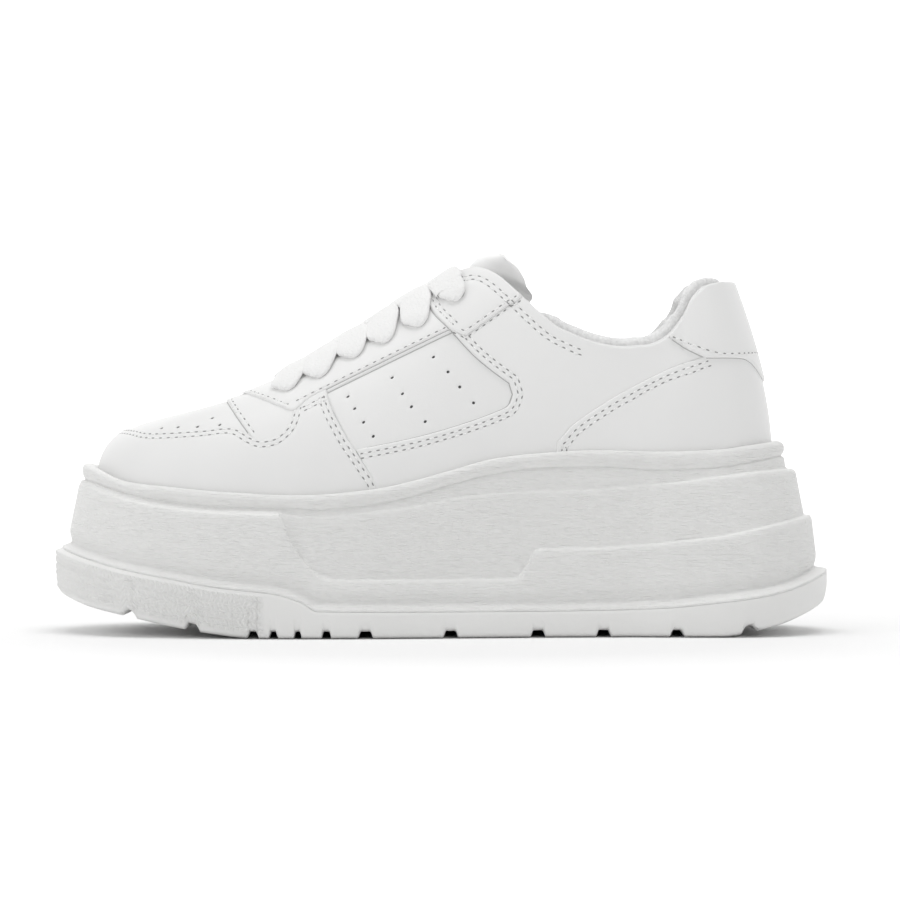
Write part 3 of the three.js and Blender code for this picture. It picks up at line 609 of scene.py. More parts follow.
# %% [markdown]
# ## The sole's rings
# The sole is a stack of outlines. Each line of its side, such as the flange, a ledge or the
# groove under the rim, stands out from the foot line by its own amount and climbs and falls
# along the shoe. The rings have the same stations, so a skin between them is one clean grid.

# %% Stations round the sole
REACHES = {
    "tread": (11.5, 6.8, 16.5), "treadEdge": (15, 9.6, 21), "outsole": (15.8, 10.8, 22.3),
    "flange": (13.9, 10.5, 22.3), "flangeTop": (10.2, 8.0, 17.4),
    "lowerBase": (11.3, 9.2, 18.4), "lowerTop": (7.9, 8, 16.6),
    "mainBase": (7.7, 6.2, 13.9), "mainTop": (7.4, 5.6, 10.7), "bandBase": (7.2, 4.5, 7.2),
    "bandTop": (7, 4.2, 6.6), "groove": (5.4, 3.6, 5.4), "rim": (6.5, 5.2, 6.6),
}
RIM_CLEARANCE = 2.2
NOTCHES = [(6.3, 4), (15.6, 4.4), (24.4, 3.4), (27.3, 2.7), (30.8, 2.4), (34.9, 3), (40.5, 4.7),
           (52.7, 4.7), (65.3, 4.7), (74.8, 4.7), (85.4, 4.4), (95.8, 4.7)]
NOTCH_DEPTH = 2.6


def half_turns(side, edges, spacing):
    """Turns from the heel to the toe on one side, with a station at every edge in x."""
    fine = np.linspace(0, TOE_TURN, 4000)
    turns = fine if side < 0 else 1 - fine
    points = foot_curve(turns)
    length = run_length(points)
    knots = [0.0]
    for edge in sorted(edges, reverse=True):
        knots.append(float(np.interp(-edge, -points[:, 0], length)))
    knots.append(float(length[-1]))
    marks = []
    for low, high, count in zip(knots, knots[1:], spacing):
        marks += list(np.linspace(low, high, count + 1)[:-1])
    marks.append(knots[-1])
    return np.interp(marks, length, turns)


def sole_stations(edges, step):
    edges = sorted(edges, reverse=True)
    outer = half_turns(-1, edges, [1] * (len(edges) + 1))
    places = foot_curve(outer)
    gaps = np.linalg.norm(np.diff(places, axis=0), axis=1)
    gaps[0] *= 1.25
    gaps[-1] *= 1.25
    counts = [max(1, int(math.ceil(gap / step))) for gap in gaps]
    outer = half_turns(-1, edges, counts)
    inner = half_turns(1, edges, counts)
    return np.concatenate([outer, inner[-2:0:-1]])

# %% [markdown]
# ## Rings that stand out from the foot line
# A ring is the foot line pushed outwards by its reach, which differs at toe, side and heel and
# blends between them with a smooth step. Its height is one of the columns of the sole table.

# %% Rings


def smoothstep(x, low, high):
    t = np.clip((np.asarray(x) - low) / (high - low), 0, 1)
    return t * t * (3 - 2 * t)


def sole_ring(turns, reach, height_at, lift=0.0):
    foot = foot_curve(turns)
    if isinstance(reach, str):
        toe, side, heel = REACHES[reach]
        share = along_of(foot[:, 0])
        toe_part, heel_part = 1 - smoothstep(share, -1, 14), smoothstep(share, 78, 99)
        reach = side + (toe - side) * toe_part + (heel - side) * heel_part
    ring = foot + plan_normal(turns) * np.reshape(reach + np.zeros(len(foot)), (-1, 1))
    ring[:, 2] = height_at(ring[:, 0]) + lift
    return ring


# %% [markdown]
# ## Midsole
# The foam platform gets its character from steps: a flange at the bottom, a wide lower layer
# that drops under the arch, a main wall, a thin band and a rounded rim. The same lines as in
# the solid are used, with many more stations, and every corner is rounded by a few rows.

# %% Midsole
ledge_edges = [float(x_of(a)) for a in (27.0, 28.2, 29.6, 31.2, 34.3, 36.6, 62, 63.3, 64.2, 65.2, 66.5)]
mid_turns = sole_stations(ledge_edges, 1.6)
mid_lines = [
    sole_ring(mid_turns, "flange", parting_at, -0.3),
    sole_ring(mid_turns, "flange", parting_at, 0.4),
    sole_ring(mid_turns, "flangeTop", parting_at, 2.8),
    sole_ring(mid_turns, "lowerBase", parting_at, 6.2),
    sole_ring(mid_turns, "lowerTop", ledge_at),
    sole_ring(mid_turns, "mainBase", ledge_at, 0.5),
    sole_ring(mid_turns, "mainTop", shoulder_at),
    sole_ring(mid_turns, "bandBase", shoulder_at, 0.5),
    sole_ring(mid_turns, "bandTop", groove_at, -0.5),
    sole_ring(mid_turns, "groove", groove_at),
    sole_ring(mid_turns, "rim", groove_at, 1.4),
    sole_ring(mid_turns, "rim", rim_at, -1.6),
    sole_ring(mid_turns, RIM_CLEARANCE + 1.6, rim_at),
    sole_ring(mid_turns, RIM_CLEARANCE - 0.6, rim_at, -1.4),
    sole_ring(mid_turns, RIM_CLEARANCE, bed_at),
]
mid_radii = [0, 0.6, 1.1, 1.8, 2.0, 0.8, 2.0, 0.8, 0.8, 0.5, 1.6, 2.2, 1.4, 1.0, 0]
mid_rings = fill_rows(round_corners(mid_lines, mid_radii), 3.0)
mid_count = len(mid_turns)
mid_faces = grid_faces(len(mid_rings), mid_count)
mid_faces += cap_faces(0, mid_count) + cap_faces((len(mid_rings) - 1) * mid_count, mid_count)
add_piece("midsole_block", np.concatenate(mid_rings), mid_faces, foam, ["midsole"],
          angle=math.radians(50))
print("midsole", len(mid_rings), "rings of", mid_count)

# %% [markdown]
# ## Outsole
# The rubber wraps round the foot of the foam. Its bottom has cross grooves, which show along
# the side as notches, and the toe carries a knurled zigzag, pressed in rows that follow the
# parting line. The zigzag is real relief: every point of the toe wall moves in or out.

# %% Relief of the tread and the toe


def notch_lift(x):
    lift = np.zeros_like(x)
    for along, width in NOTCHES:
        distance = np.abs(x - x_of(along))
        lift = np.maximum(lift, NOTCH_DEPTH * (1 - smoothstep(distance, width * 0.34, width * 0.6)))
    return lift


def tread_at(x):
    return ground_at(x) + notch_lift(x)


ZIGZAG_END = 25.6
ZIGZAG_ROW = 2.4
ZIGZAG_PITCH = 1.75
ZIGZAG_DEPTH = 0.7


def zigzag(points, arc):
    """Relief of the toe wall: rows of slanted ribs that turn their slant from row to row."""
    below = parting_at(points[:, 0]) - points[:, 2] - 1.2
    row = below / ZIGZAG_ROW
    inside = np.abs(row - np.floor(row) - 0.5) * 2
    slant = np.where(np.floor(row) % 2 == 0, 1, -1) * (row - np.floor(row)) * ZIGZAG_PITCH * 0.9
    rib = 0.5 + 0.5 * np.cos(2 * math.pi * (arc + slant) / ZIGZAG_PITCH)
    relief = rib * (1 - smoothstep(inside, 0.72, 0.98))
    share = along_of(points[:, 0])
    area = 1 - smoothstep(share, ZIGZAG_END, ZIGZAG_END + 0.3)
    area = area * smoothstep(below, 0.1, 0.5) * smoothstep(points[:, 2] - ground_at(points[:, 0]), 1.8, 2.6)
    return relief * area * ZIGZAG_DEPTH


print("zigzag rows", ZIGZAG_ROW, "mm high, pitch", ZIGZAG_PITCH, "mm")

# %% [markdown]
# ## The rubber and its notches
# A notch needs stations at its very edges, or the grid would cut its corners. So the edges of
# all notches, and the end of the zigzag, are given to the function that places the stations.

# %% Outsole
notch_edges = []
for along, width in NOTCHES:
    for share in (-0.62, -0.47, -0.32, 0.32, 0.47, 0.62):
        notch_edges.append(float(x_of(along) + share * width))
notch_edges += [float(x_of(ZIGZAG_END)), float(x_of(ZIGZAG_END + 0.35))]
out_turns = sole_stations(notch_edges, 0.6)
out_lines = [
    sole_ring(out_turns, "tread", tread_at),
    sole_ring(out_turns, "treadEdge", tread_at, 0.9),
    sole_ring(out_turns, "outsole", lambda x: tread_at(x) + (parting_at(x) - tread_at(x)) * 0.45),
    sole_ring(out_turns, "outsole", parting_at, -1.4),
    sole_ring(out_turns, "flange", parting_at, -0.35),
    sole_ring(out_turns, 6.0, parting_at, -0.5),
]
out_rings = fill_rows(round_corners(out_lines, [0, 1.4, 3.0, 0.4, 0.2, 0]), 0.55)
arc_points = sole_ring(out_turns, "outsole", parting_at)
arc = run_length(arc_points)
out_normals = plan_normal(out_turns)
dressed = [ring + out_normals * zigzag(ring, arc)[:, None] for ring in out_rings]
out_count = len(out_turns)
out_faces = grid_faces(len(dressed), out_count)
out_faces += cap_faces(0, out_count) + cap_faces((len(dressed) - 1) * out_count, out_count)
outsole = add_piece("outsole_rubber", np.concatenate(dressed), out_faces, rubber,
                    ["outsole"])
print("outsole", len(dressed), "rings of", out_count, "faces", len(outsole.data.polygons))

# %% [markdown]
# ## Seams of the upper
# The upper is sewn from flat pieces of leather: a toe guard, a saddle over the toes, an
# eyestay for the laces, quarters, a heel counter and a heel tab. Their outlines were drawn
# on the side view, as a pattern maker would chalk them on the last. A few points are enough
# for a seam, because a smooth curve joins them and only a sharp bend stays a corner.

# %% Seam lines in per cent of length and of collar rise
GUARD_TOP = [(-5.4, 5), (4.8, 5), (9.1, 3), (16.4, 4.5), (21, 6), (23.5, 1), (25.2, -1.5), (27.4, 0.2),
             (29.1, 6), (29.9, 12.2), (30.4, 21.7)]
EYESTAY_FRONT = [(22.2, 38), (22.8, 30.7), (24.6, 28.3), (26.4, 25.9), (28.3, 22.9), (30.4, 21.7)]
EYESTAY_LOW = [(30.4, 21.7), (34.6, 30.7), (52.6, 68.8)]
FACING_FRONT = [(52.6, 68.8), (50.5, 78.3), (49.8, 84.8), (49.2, 93.1), (49.2, 125)]
FACING_REAR = [(52.6, 68.8), (54.8, 64.7), (60.6, 82.2), (63.6, 92.2), (67.7, 125)]
WINDOW_EDGE = [(52.6, 68.8), (55.9, 53.4), (58.6, 43.6), (61.2, 35.5), (61.7, 28.4), (61.2, 22.6),
               (60.1, 19), (55, 10.8), (47.6, 1.7), (39, -5.9)]
GUARD_REAR = [(34.6, 30.7), (39, -5.9), (41.8, -28.4), (42.3, -52)]
# The cut edge of the guard at the rear, just toe-wards of its seam.
GUARD_EDGE = [(34.3, 30.1), (34.5, 26), (35.2, 17.2), (36.4, 7.3), (37.6, -1.5), (38.9, -9.3), (40.3, -18.4),
              (41.5, -26.2), (42.4, -40), (42.4, -52)]
COUNTER_TOP = [(67.7, -52), (68.1, -5.7), (68.9, 1.4), (70.3, 8.4), (72.8, 16.2), (77, 27.4),
               (81.2, 36.9), (85.3, 44.7), (89.8, 51.7)]
TAB_FRONT = [(84.1, 125), (84.1, 66.4), (87, 57.9), (89.8, 51.7)]
TAB_LOW = [(89.8, 51.7), (94.5, 51.6), (96, 49.8), (97.2, 45.4), (99.4, 33.2), (108, 33.2)]
SADDLE_FRONT = [(19, 30), (19.2, 27.5), (24.2, 0)]
# The cut edge of the eyestay at the toe, a little below its seam, with a rounded corner.
EYESTAY_EDGE = [(22.2, 34.5), (22.8, 27.6), (24.6, 25.1), (26.4, 22.4), (28.3, 19.3), (29.5, 17.9),
                (30.3, 18.4), (31.6, 23.4)]
TAB_STITCH = [(85.2, 63.4), (88, 58.6), (90.2, 55.2), (92.5, 53.4), (96.2, 54.2), (98.6, 55.6)]


def smooth_line(points, spacing=0.8, corner=35):
    """Points in mm along a seam, smooth between its corners."""
    points = np.array([(x_of(a), up_of(u)) for a, u in points])
    steps = np.diff(points, axis=0)
    angles = np.degrees(np.arctan2(steps[:, 1], steps[:, 0]))
    bends = np.abs((np.diff(angles) + 180) % 360 - 180)
    breaks = [0] + [i + 1 for i, bend in enumerate(bends) if bend > corner] + [len(points) - 1]
    result = [points[:1]]
    for low, high in zip(breaks, breaks[1:]):
        part = points[low:high + 1]
        if len(part) > 2:
            ends = np.concatenate([[2 * part[0] - part[1]], part, [2 * part[-1] - part[-2]]])
            fine = []
            for a, b, c, d in zip(ends, ends[1:], ends[2:], ends[3:]):
                fine.append(cubic(a, b, c, d, np.linspace(0, 1, 25)[1:, None]))
            part = np.concatenate([part[:1], *fine])
        gaps = run_length(part)
        marks = np.linspace(0, gaps[-1], max(2, int(math.ceil(gaps[-1] / spacing)) + 1))
        result.append(np.stack([np.interp(marks, gaps, part[:, k]) for k in (0, 1)], 1)[1:])
    return np.concatenate(result)


# %% [markdown]
# ## From the side view back to the wall
# The seams are drawn flat, but leather lies on a curved wall. The nearest point of a fine
# table is the first guess for each point of a seam. A few steps along the slopes of the wall
# bring it onto the line, and points that stay off it belong to the other side of the shoe.

# %% From the side view back to the wall
LOOKUP = {}
for side, turns in ((-1, np.linspace(0, 0.5, 501)), (1, np.linspace(0.5, 1, 501))):
    table_turns, table_heights = np.meshgrid(turns, np.linspace(0, 1, 101), indexing="ij")
    LOOKUP[side] = (table_turns.ravel(), table_heights.ravel(),
                    wall_point(table_turns, table_heights)[..., [0, 2]].reshape(-1, 2))


def find_on_wall(targets, side):
    """Turn and height of side view points, and how far each stayed from its target."""
    turns, heights, places = LOOKUP[side]
    targets = np.asarray(targets, float)
    nearest = [int(np.argmin(((places - target) ** 2).sum(1))) for target in targets]
    turn, height = turns[nearest], heights[nearest]
    low, high = (0, 0.5) if side < 0 else (0.5, 1)
    for _ in range(8):
        gap = targets - wall_point(turn, height)[..., [0, 2]]
        around, upward = wall_slopes(turn, height)
        size = around[:, 0] * upward[:, 2] - around[:, 2] * upward[:, 0]
        size = np.where(np.abs(size) < 30, np.where(size < 0, -30, 30), size)
        turn_step = (gap[:, 0] * upward[:, 2] - gap[:, 1] * upward[:, 0]) / size
        height_step = (gap[:, 1] * around[:, 0] - gap[:, 0] * around[:, 2]) / size
        turn = np.clip(turn + np.clip(turn_step, -0.004, 0.004), low, high)
        height = np.clip(height + np.clip(height_step, -0.03, 0.03), 0, 1)
    missed = np.linalg.norm(targets - wall_point(turn, height)[..., [0, 2]], axis=1)
    return turn, height, missed


print("table of", len(LOOKUP[-1][0]), "wall points on each side")

# %% [markdown]
# ## Seams as lines on the wall
# A traced seam is a list of turns and heights. Where a seam crosses the toe or the heel, the
# side view sees the wall edge-on, so that last bit is found by height alone instead.

# %% Seams as lines on the wall


def trace(seam, side):
    """The part of a seam that lies on one side of the wall, as turns and heights."""
    turn, height, missed = find_on_wall(smooth_line(seam), side)
    kept = missed < 0.12
    return np.stack([turn[kept], height[kept]], 1)


def middle_part(seam, middle, start_turn, count=9):
    """Carries a seam from its last traced turn to the middle of the toe or the heel."""
    line = smooth_line(seam)
    order = np.argsort(line[:, 0])
    turns = np.linspace(middle, start_turn, count)[:-1]
    low, high = np.zeros(len(turns)), np.ones(len(turns))
    for _ in range(26):
        half = (low + high) / 2
        point = wall_point(turns, half)
        over = point[:, 2] > np.interp(point[:, 0], line[order, 0], line[order, 1])
        high = np.where(over, half, high)
        low = np.where(over, low, half)
    return np.stack([turns, (low + high) / 2], 1)


def level(height, from_turn, to_turn):
    count = max(3, int(abs(to_turn - from_turn) * 600))
    return np.stack([np.linspace(from_turn, to_turn, count), np.full(count, float(height))], 1)


def from_middle(seam, side, middle=0.5):
    """A seam that starts in the middle plane and runs away from it on one side."""
    line = trace(seam, side)
    if middle == 0 and side > 0:
        line[:, 0] -= 1
    if abs(line[0, 0] - middle) > abs(line[-1, 0] - middle):
        line = line[::-1]
    return np.concatenate([middle_part(seam, middle, line[0, 0]), line])


# %% [markdown]
# ## Cutting the panels
# Each panel gets a closed outline in turns and heights. Inside it we scatter points, dense
# near the edge and along the stitch rows, coarser in the middle, and join them to triangles.
# Near the edge the surface rounds off like a skived leather edge, and along each row of
# stitches the thread pulls a shallow groove.

# %% Outlines


def two_sided(builder):
    """Joins the outer and the inner half of a panel that crosses the middle plane."""
    outer, inner = builder(-1), builder(1)
    return np.concatenate([outer, inner[::-1]])


def guard_half(side):
    top = from_middle(GUARD_TOP, side)
    rear = trace([EYESTAY_LOW[0], EYESTAY_LOW[1]], side)
    back = trace(GUARD_EDGE, side)
    return np.concatenate([top, rear[1:-1], back[1:], level(0, back[-1, 0], 0.5)])


def saddle_half(side):
    front = from_middle(SADDLE_FRONT, side)
    low = trace([SADDLE_FRONT[-1], *GUARD_TOP[6:]], side)
    back = from_middle(EYESTAY_FRONT, side)[::-1]
    return np.concatenate([front, low[1:], back[1:]])


def eyestay_half(side):
    front = from_middle(EYESTAY_EDGE, side)
    low = trace([EYESTAY_EDGE[-1], *EYESTAY_LOW[1:]], side)
    rear = trace(FACING_FRONT, side)
    return np.concatenate([front, low[1:], rear[1:], level(1, rear[-1, 0], 0.5)])


def facing_outline(side):
    front = trace(FACING_FRONT, side)
    rear = trace(FACING_REAR, side)
    return np.concatenate([front, level(1, front[-1, 0], rear[-1, 0]), rear[::-1]])


def quarter_outline(side):
    window = trace(WINDOW_EDGE, side)
    front = trace(GUARD_REAR[1:], side)
    counter = trace(COUNTER_TOP, side)
    tab = trace(TAB_FRONT, side)[::-1]
    facing = trace(FACING_REAR, side)[::-1]
    return np.concatenate([window, front[1:], level(0, front[-1, 0], counter[0, 0]), counter[1:], tab[1:],
                           level(1, tab[-1, 0], facing[0, 0]), facing[1:]])

# %% [markdown]
# ## Outlines of the heel, the window and the vamp
# The heel pieces cross the middle at turn zero, where the count starts again. Their inner
# half gets turns below zero, so the outline never jumps.

# %% More outlines


def counter_half(side):
    low = from_middle(TAB_LOW, side, 0)
    edge = trace(COUNTER_TOP, side)[::-1]
    if side > 0:
        edge[:, 0] -= 1
    return np.concatenate([low, edge[1:], level(0, edge[-1, 0], 0)])


def tab_half(side):
    low = from_middle(TAB_LOW, side, 0)
    front = trace(TAB_FRONT, side)[::-1]
    if side > 0:
        front[:, 0] -= 1
    return np.concatenate([low, front[1:], level(1, front[-1, 0], 0)])


def window_outline(side):
    low = trace(EYESTAY_LOW[1:], side)
    edge = trace(WINDOW_EDGE, side)
    front = trace(GUARD_REAR[:2], side)
    return np.concatenate([low, edge[1:], front[::-1][1:]])


def vamp_half(side):
    front = from_middle([*GUARD_TOP[:5], SADDLE_FRONT[-1]], side)
    back = from_middle(SADDLE_FRONT, side)[::-1]
    return np.concatenate([front, back])


# %% [markdown]
# ## Lines and loops on the wall
# A seam has two neighbours that run beside it at a fixed distance: its cut edge and its rows
# of stitches. So we need to move a line sideways on a curved wall, to measure gaps and to ask
# what lies inside a loop. Blender's KD tree finds the nearest point fast.

# %% Lines and loops
TURN_SCALE = 560.0
HEIGHT_SCALE = 75.0


def flat(points):
    return points * (TURN_SCALE, HEIGHT_SCALE)


def tidy_loop(loop, least=0.25):
    """Drops points that repeat, measured on the wall in mm."""
    kept = []
    places = wall_point(*loop.T)
    last = None
    for point, place in zip(loop, places):
        if last is None or np.linalg.norm(place - last) > least:
            kept.append(point)
            last = place
    if np.linalg.norm(wall_point(*kept[0]) - last) < least:
        kept.pop()
    return np.array(kept)


def moved_aside(line, distance, closed=False):
    """Moves a line sideways on the wall by a distance in mm, to its left as seen on the flat."""
    places = wall_point(*line.T)
    around, upward = wall_slopes(*line.T)
    if closed:
        ahead, behind = np.roll(places, -1, 0) - places, places - np.roll(places, 1, 0)
    else:
        ahead = np.concatenate([np.diff(places, axis=0), places[-1:] - places[-2:-1]])
        behind = np.concatenate([ahead[:1], ahead[:-1]])
    normal = np.cross(around, upward)
    normal /= np.linalg.norm(normal, axis=1, keepdims=True)

    def left(step):
        step = step / np.maximum(np.linalg.norm(step, axis=1, keepdims=True), 1e-9)
        return np.cross(normal, step)
    one, two = left(ahead), left(behind)
    aside = one + two
    length = np.maximum(np.linalg.norm(aside, axis=1, keepdims=True), 0.9)
    aside = aside / length * np.minimum(2 / length, 1.9) * distance
    aa, uu, au = (around ** 2).sum(1), (upward ** 2).sum(1), (around * upward).sum(1)
    pa, pu = (aside * around).sum(1), (aside * upward).sum(1)
    size = aa * uu - au ** 2
    moved = line + np.stack([(pa * uu - pu * au) / size, (pu * aa - pa * au) / size], 1)
    moved[:, 1] = np.clip(moved[:, 1], 0, 1)
    return moved

# %% [markdown]
# ## Areas, insides and gaps
# Three questions come up for every panel: which way round its outline runs, which points lie
# inside it, and how far a point is from the edge.

# %% Areas, insides and gaps


def signed_area(loop):
    x, y = flat(loop).T
    return 0.5 * float(np.sum(x * np.roll(y, -1) - np.roll(x, -1) * y))


def inside_loop(points, loop):
    x, y = points.T
    result = np.zeros(len(points), bool)
    x1, y1 = loop.T
    x2, y2 = np.roll(loop, -1, 0).T
    for a, b, c, d in zip(x1, y1, x2, y2):
        if b != d:
            crosses = (b > y) != (d > y)
            result ^= crosses & (x < (c - a) * (y - b) / (d - b) + a)
    return result


def tree_of(points):
    tree = KDTree(len(points))
    for i, point in enumerate(points):
        tree.insert(point, i)
    tree.balance()
    return tree


def nearest_gap(tree, points):
    return np.array([tree.find(point)[2] for point in points])


def line_points(line, spacing):
    """Even points in mm along a line of turns and heights."""
    places = wall_point(*line.T)
    gaps = run_length(places)
    marks = np.linspace(0, gaps[-1], max(2, int(round(gaps[-1] / spacing)) + 1))
    return np.stack([np.interp(marks, gaps, line[:, k]) for k in (0, 1)], 1)


print("one turn is drawn", TURN_SCALE, "mm long on the flat, one height", HEIGHT_SCALE, "mm")

# %% [markdown]
# ## Filling an outline
# A panel needs points where its shape changes and only a few elsewhere. Rows follow the edge,
# three rows follow each line of stitches, rings stand round each hole and a plain grid fills
# the rest. A constrained triangulation joins them all and keeps the outline as it was drawn.

# %% Points of a panel
EDGE_PROFILE = [(0, -0.5), (0.14, -0.2), (0.4, -0.03), (0.9, 0), (1.5, 0)]
GROOVE_WIDTH = 0.5
GROOVE_DEPTH = 0.2
LOW_SPACING = 5


def triangles(points, loop_count):
    edges = [(i, (i + 1) % loop_count) for i in range(loop_count)]
    result = delaunay_2d_cdt([Vector(p) for p in flat(points)], edges, [], 1, 1e-5, True)
    places = np.array([tuple(v) for v in result[0]]) / (TURN_SCALE, HEIGHT_SCALE)
    origins = [ids[0] if ids else -1 for ids in result[3]]
    faces = [tuple(face) for face in result[2]]
    middles = np.array([places[list(face)].mean(0) for face in faces])
    inside = inside_loop(middles, points[:loop_count])
    return places, [face for face, kept in zip(faces, inside) if kept], origins


def grid_inside(loop, spacing):
    """Points of a square grid, this many mm apart, that lie inside a loop."""
    low, high = loop.min(0), loop.max(0)
    turns = np.arange(low[0], high[0], spacing / TURN_SCALE)
    heights = np.arange(low[1], high[1], spacing / HEIGHT_SCALE)
    grid = np.stack(np.meshgrid(turns, heights, indexing="ij"), -1).reshape(-1, 2)
    return grid[inside_loop(grid, loop)]


def edge_rows(loop, edge_tree):
    """Rows just inside a loop, and how far each sinks towards the rounded edge."""
    rows, drops = [loop], [np.full(len(loop), EDGE_PROFILE[0][1])]
    for gap, drop in EDGE_PROFILE[1:]:
        row = moved_aside(loop, gap, True)
        kept = inside_loop(row, loop) & (nearest_gap(edge_tree, wall_point(*row.T)) > gap * 0.9)
        rows.append(row[kept])
        drops.append(np.full(kept.sum(), drop))
    return rows, drops


def groove_rows(stitches, loop, edge_tree):
    """Three rows along each line of stitches, so that the groove has points to bend at."""
    rows = []
    for line in stitches:
        for aside in (-GROOVE_WIDTH, 0, GROOVE_WIDTH):
            row = moved_aside(line_points(line, 1.0), aside)
            kept = inside_loop(row, loop) & (nearest_gap(edge_tree, wall_point(*row.T)) > 0.45)
            rows.append(row[kept])
    return rows, [np.zeros(len(row)) for row in rows]


def dimple_rings(dimples):
    """Rings round each hole, from the flat leather down to the floor of the pit."""
    rings, drops = [], []
    for turn, height, radius, depth in dimples:
        around, upward = wall_slopes(np.array([turn]), np.array([height]))
        across_length, up_length = np.linalg.norm(around), np.linalg.norm(upward)
        corner = int(8 + radius * 3)
        angles = np.arange(corner) * 2 * math.pi / corner
        for share, drop in ((1.3, 0), (1.0, -0.08), (0.86, -depth), (0.3, -depth)):
            rings.append(np.stack([turn + np.cos(angles) * radius * share / across_length,
                                   height + np.sin(angles) * radius * share / up_length], 1))
            drops.append(np.full(corner, drop))
    return rings, drops


print("edge profile", len(EDGE_PROFILE), "rows, groove", GROOVE_DEPTH, "mm deep")

# %% [markdown]
# ## The panel maker
# A panel is a closed shell: the side that shows, a coarse side that lies on the wall, and a
# narrow band between the two. Closed pieces have a true thickness, so light never leaks
# under an edge and the mesh could be printed as it is.

# %% Panel maker


def panel_top(loop, edge_tree, stitches, dimples, spacing):
    """Points, faces and heights of the side of a panel that shows."""
    points, drops = edge_rows(loop, edge_tree)
    for rows, depths in (groove_rows(stitches, loop, edge_tree), dimple_rings(dimples)):
        points += rows
        drops += depths
    near_tree = tree_of(wall_point(*np.concatenate(points).T))
    grid = grid_inside(loop, spacing)
    if len(grid):
        places = wall_point(*grid.T)
        kept = (nearest_gap(edge_tree, places) > 1.9) & (nearest_gap(near_tree, places) > 0.75)
        points.append(grid[kept])
        drops.append(np.zeros(kept.sum()))
    dropped = np.concatenate(drops)
    flat_points, faces, origins = triangles(np.concatenate(points), len(loop))
    offset = np.array([dropped[i] if i >= 0 else 0 for i in origins])
    if stitches:
        stitch_tree = tree_of(np.concatenate(
            [wall_point(*line_points(line, 0.5).T) for line in stitches]))
        gap = nearest_gap(stitch_tree, wall_point(*flat_points.T))
        offset -= GROOVE_DEPTH * np.exp(-(gap / 0.42) ** 2)
    return flat_points, faces, origins, offset


def make_panel(name, loop, top, material, replaces=(), bottom=0.04, grow=0.0, stitches=(), dimples=(),
               spacing=1.9):
    """A leather panel on the wall, with rounded edges, stitch grooves and dimples."""
    loop = tidy_loop(loop)
    if signed_area(loop) < 0:
        loop = loop[::-1]
    if grow:
        loop = tidy_loop(moved_aside(loop, -grow, True))
    edge_tree = tree_of(wall_point(*loop.T))
    flat_points, faces, origins, offset = panel_top(loop, edge_tree, stitches, dimples, spacing)
    upper_side = wall_at(*flat_points.T, top + offset)
    coarse = grid_inside(loop, LOW_SPACING)
    if len(coarse):
        coarse = coarse[nearest_gap(edge_tree, wall_point(*coarse.T)) > 1.5]
    low_points, low_faces, low_origins = triangles(np.concatenate([loop, coarse]), len(loop))
    low_side = wall_at(*low_points.T, bottom)
    shift = len(upper_side)
    all_faces = faces + [tuple(shift + i for i in reversed(face)) for face in low_faces]
    top_index = {origin: i for i, origin in enumerate(origins) if 0 <= origin < len(loop)}
    low_index = {origin: i for i, origin in enumerate(low_origins) if 0 <= origin < len(loop)}
    for i in range(len(loop)):
        j = (i + 1) % len(loop)
        if all(k in top_index and k in low_index for k in (i, j)):
            all_faces.append((top_index[i], shift + low_index[i], shift + low_index[j], top_index[j]))
    print(name, len(all_faces), "faces")
    return add_piece(name, np.concatenate([upper_side, low_side]), all_faces, material, replaces)


# %% [markdown]
# ## Stitches
# Every seam is sewn with thick thread, about eight stitches to the inch. One stitch is a
# short capsule that sinks into the leather at both ends; between two stitches the needle hole is
# a dark slot of painted shade. We lay the stitches along the rows whose grooves are pressed already.

# %% Stitch maker
STITCH_PITCH = 3.0
STITCH_LENGTH = 1.9
STITCH_RADIUS = 0.34
GAP_LENGTH = 1.35
GAP_WIDTH = 0.5
STITCH_POINTS = []
STITCH_FACES = []
NEEDLE_SHADE_POINTS = []
NEEDLE_SHADE_FACES = []
PUNCH_SHADE_POINTS = []
PUNCH_SHADE_FACES = []


def along_line(line, marks):
    """Turns and heights at distances in mm along a line."""
    places = wall_point(*line.T)
    gaps = run_length(places)
    return [np.interp(marks, gaps, line[:, k]) for k in (0, 1)], gaps[-1]


def sew(line, top):
    """Lays stitches along a line of turns and heights, on a surface this high over the wall."""
    if len(line) < 3:
        return
    length = along_line(line, 0)[1]
    count = max(1, int(length // STITCH_PITCH))
    centres = (np.arange(count) + 0.5) * length / count
    bodies = []
    for share in (-0.5, -0.34, 0, 0.34, 0.5):
        turn, height = along_line(line, centres + share * STITCH_LENGTH)[0]
        sink = top - GROOVE_DEPTH + (-0.3 if abs(share) == 0.5 else 0.0 if share else 0.08)
        bodies.append(wall_at(turn, height, sink))
    turn, height = along_line(line, centres)[0]
    normal = wall_at(turn, height, 1) - wall_at(turn, height, 0)
    along = bodies[-1] - bodies[0]
    along /= np.linalg.norm(along, axis=1, keepdims=True)
    across = np.cross(along, normal)
    corner = 6
    angles = 2 * math.pi * np.arange(corner) / corner
    for i in range(count):
        start = len(STITCH_POINTS)
        for body, share in zip(bodies, (0.35, 0.85, 1, 0.85, 0.35)):
            for angle in angles:
                STITCH_POINTS.append(body[i] + STITCH_RADIUS * share * (
                    math.cos(angle) * across[i] + math.sin(angle) * normal[i]))
        STITCH_FACES.extend(grid_faces(5, corner, start=start))
        STITCH_FACES.append(tuple(start + k for k in reversed(range(corner))))
        STITCH_FACES.append(tuple(start + 4 * corner + k for k in range(corner)))
    marks = np.arange(count + 1) * length / count
    turn, height = along_line(line, marks)[0]
    before = wall_at(*along_line(line, marks - 0.5)[0], 0.0)
    after = wall_at(*along_line(line, marks + 0.5)[0], 0.0)
    # a dark slot of painted shade at each needle hole between two stitches
    add_shade_discs(turn, height, top - GROOVE_DEPTH * 0.4, GAP_WIDTH / 2, GAP_LENGTH / 2, after - before)


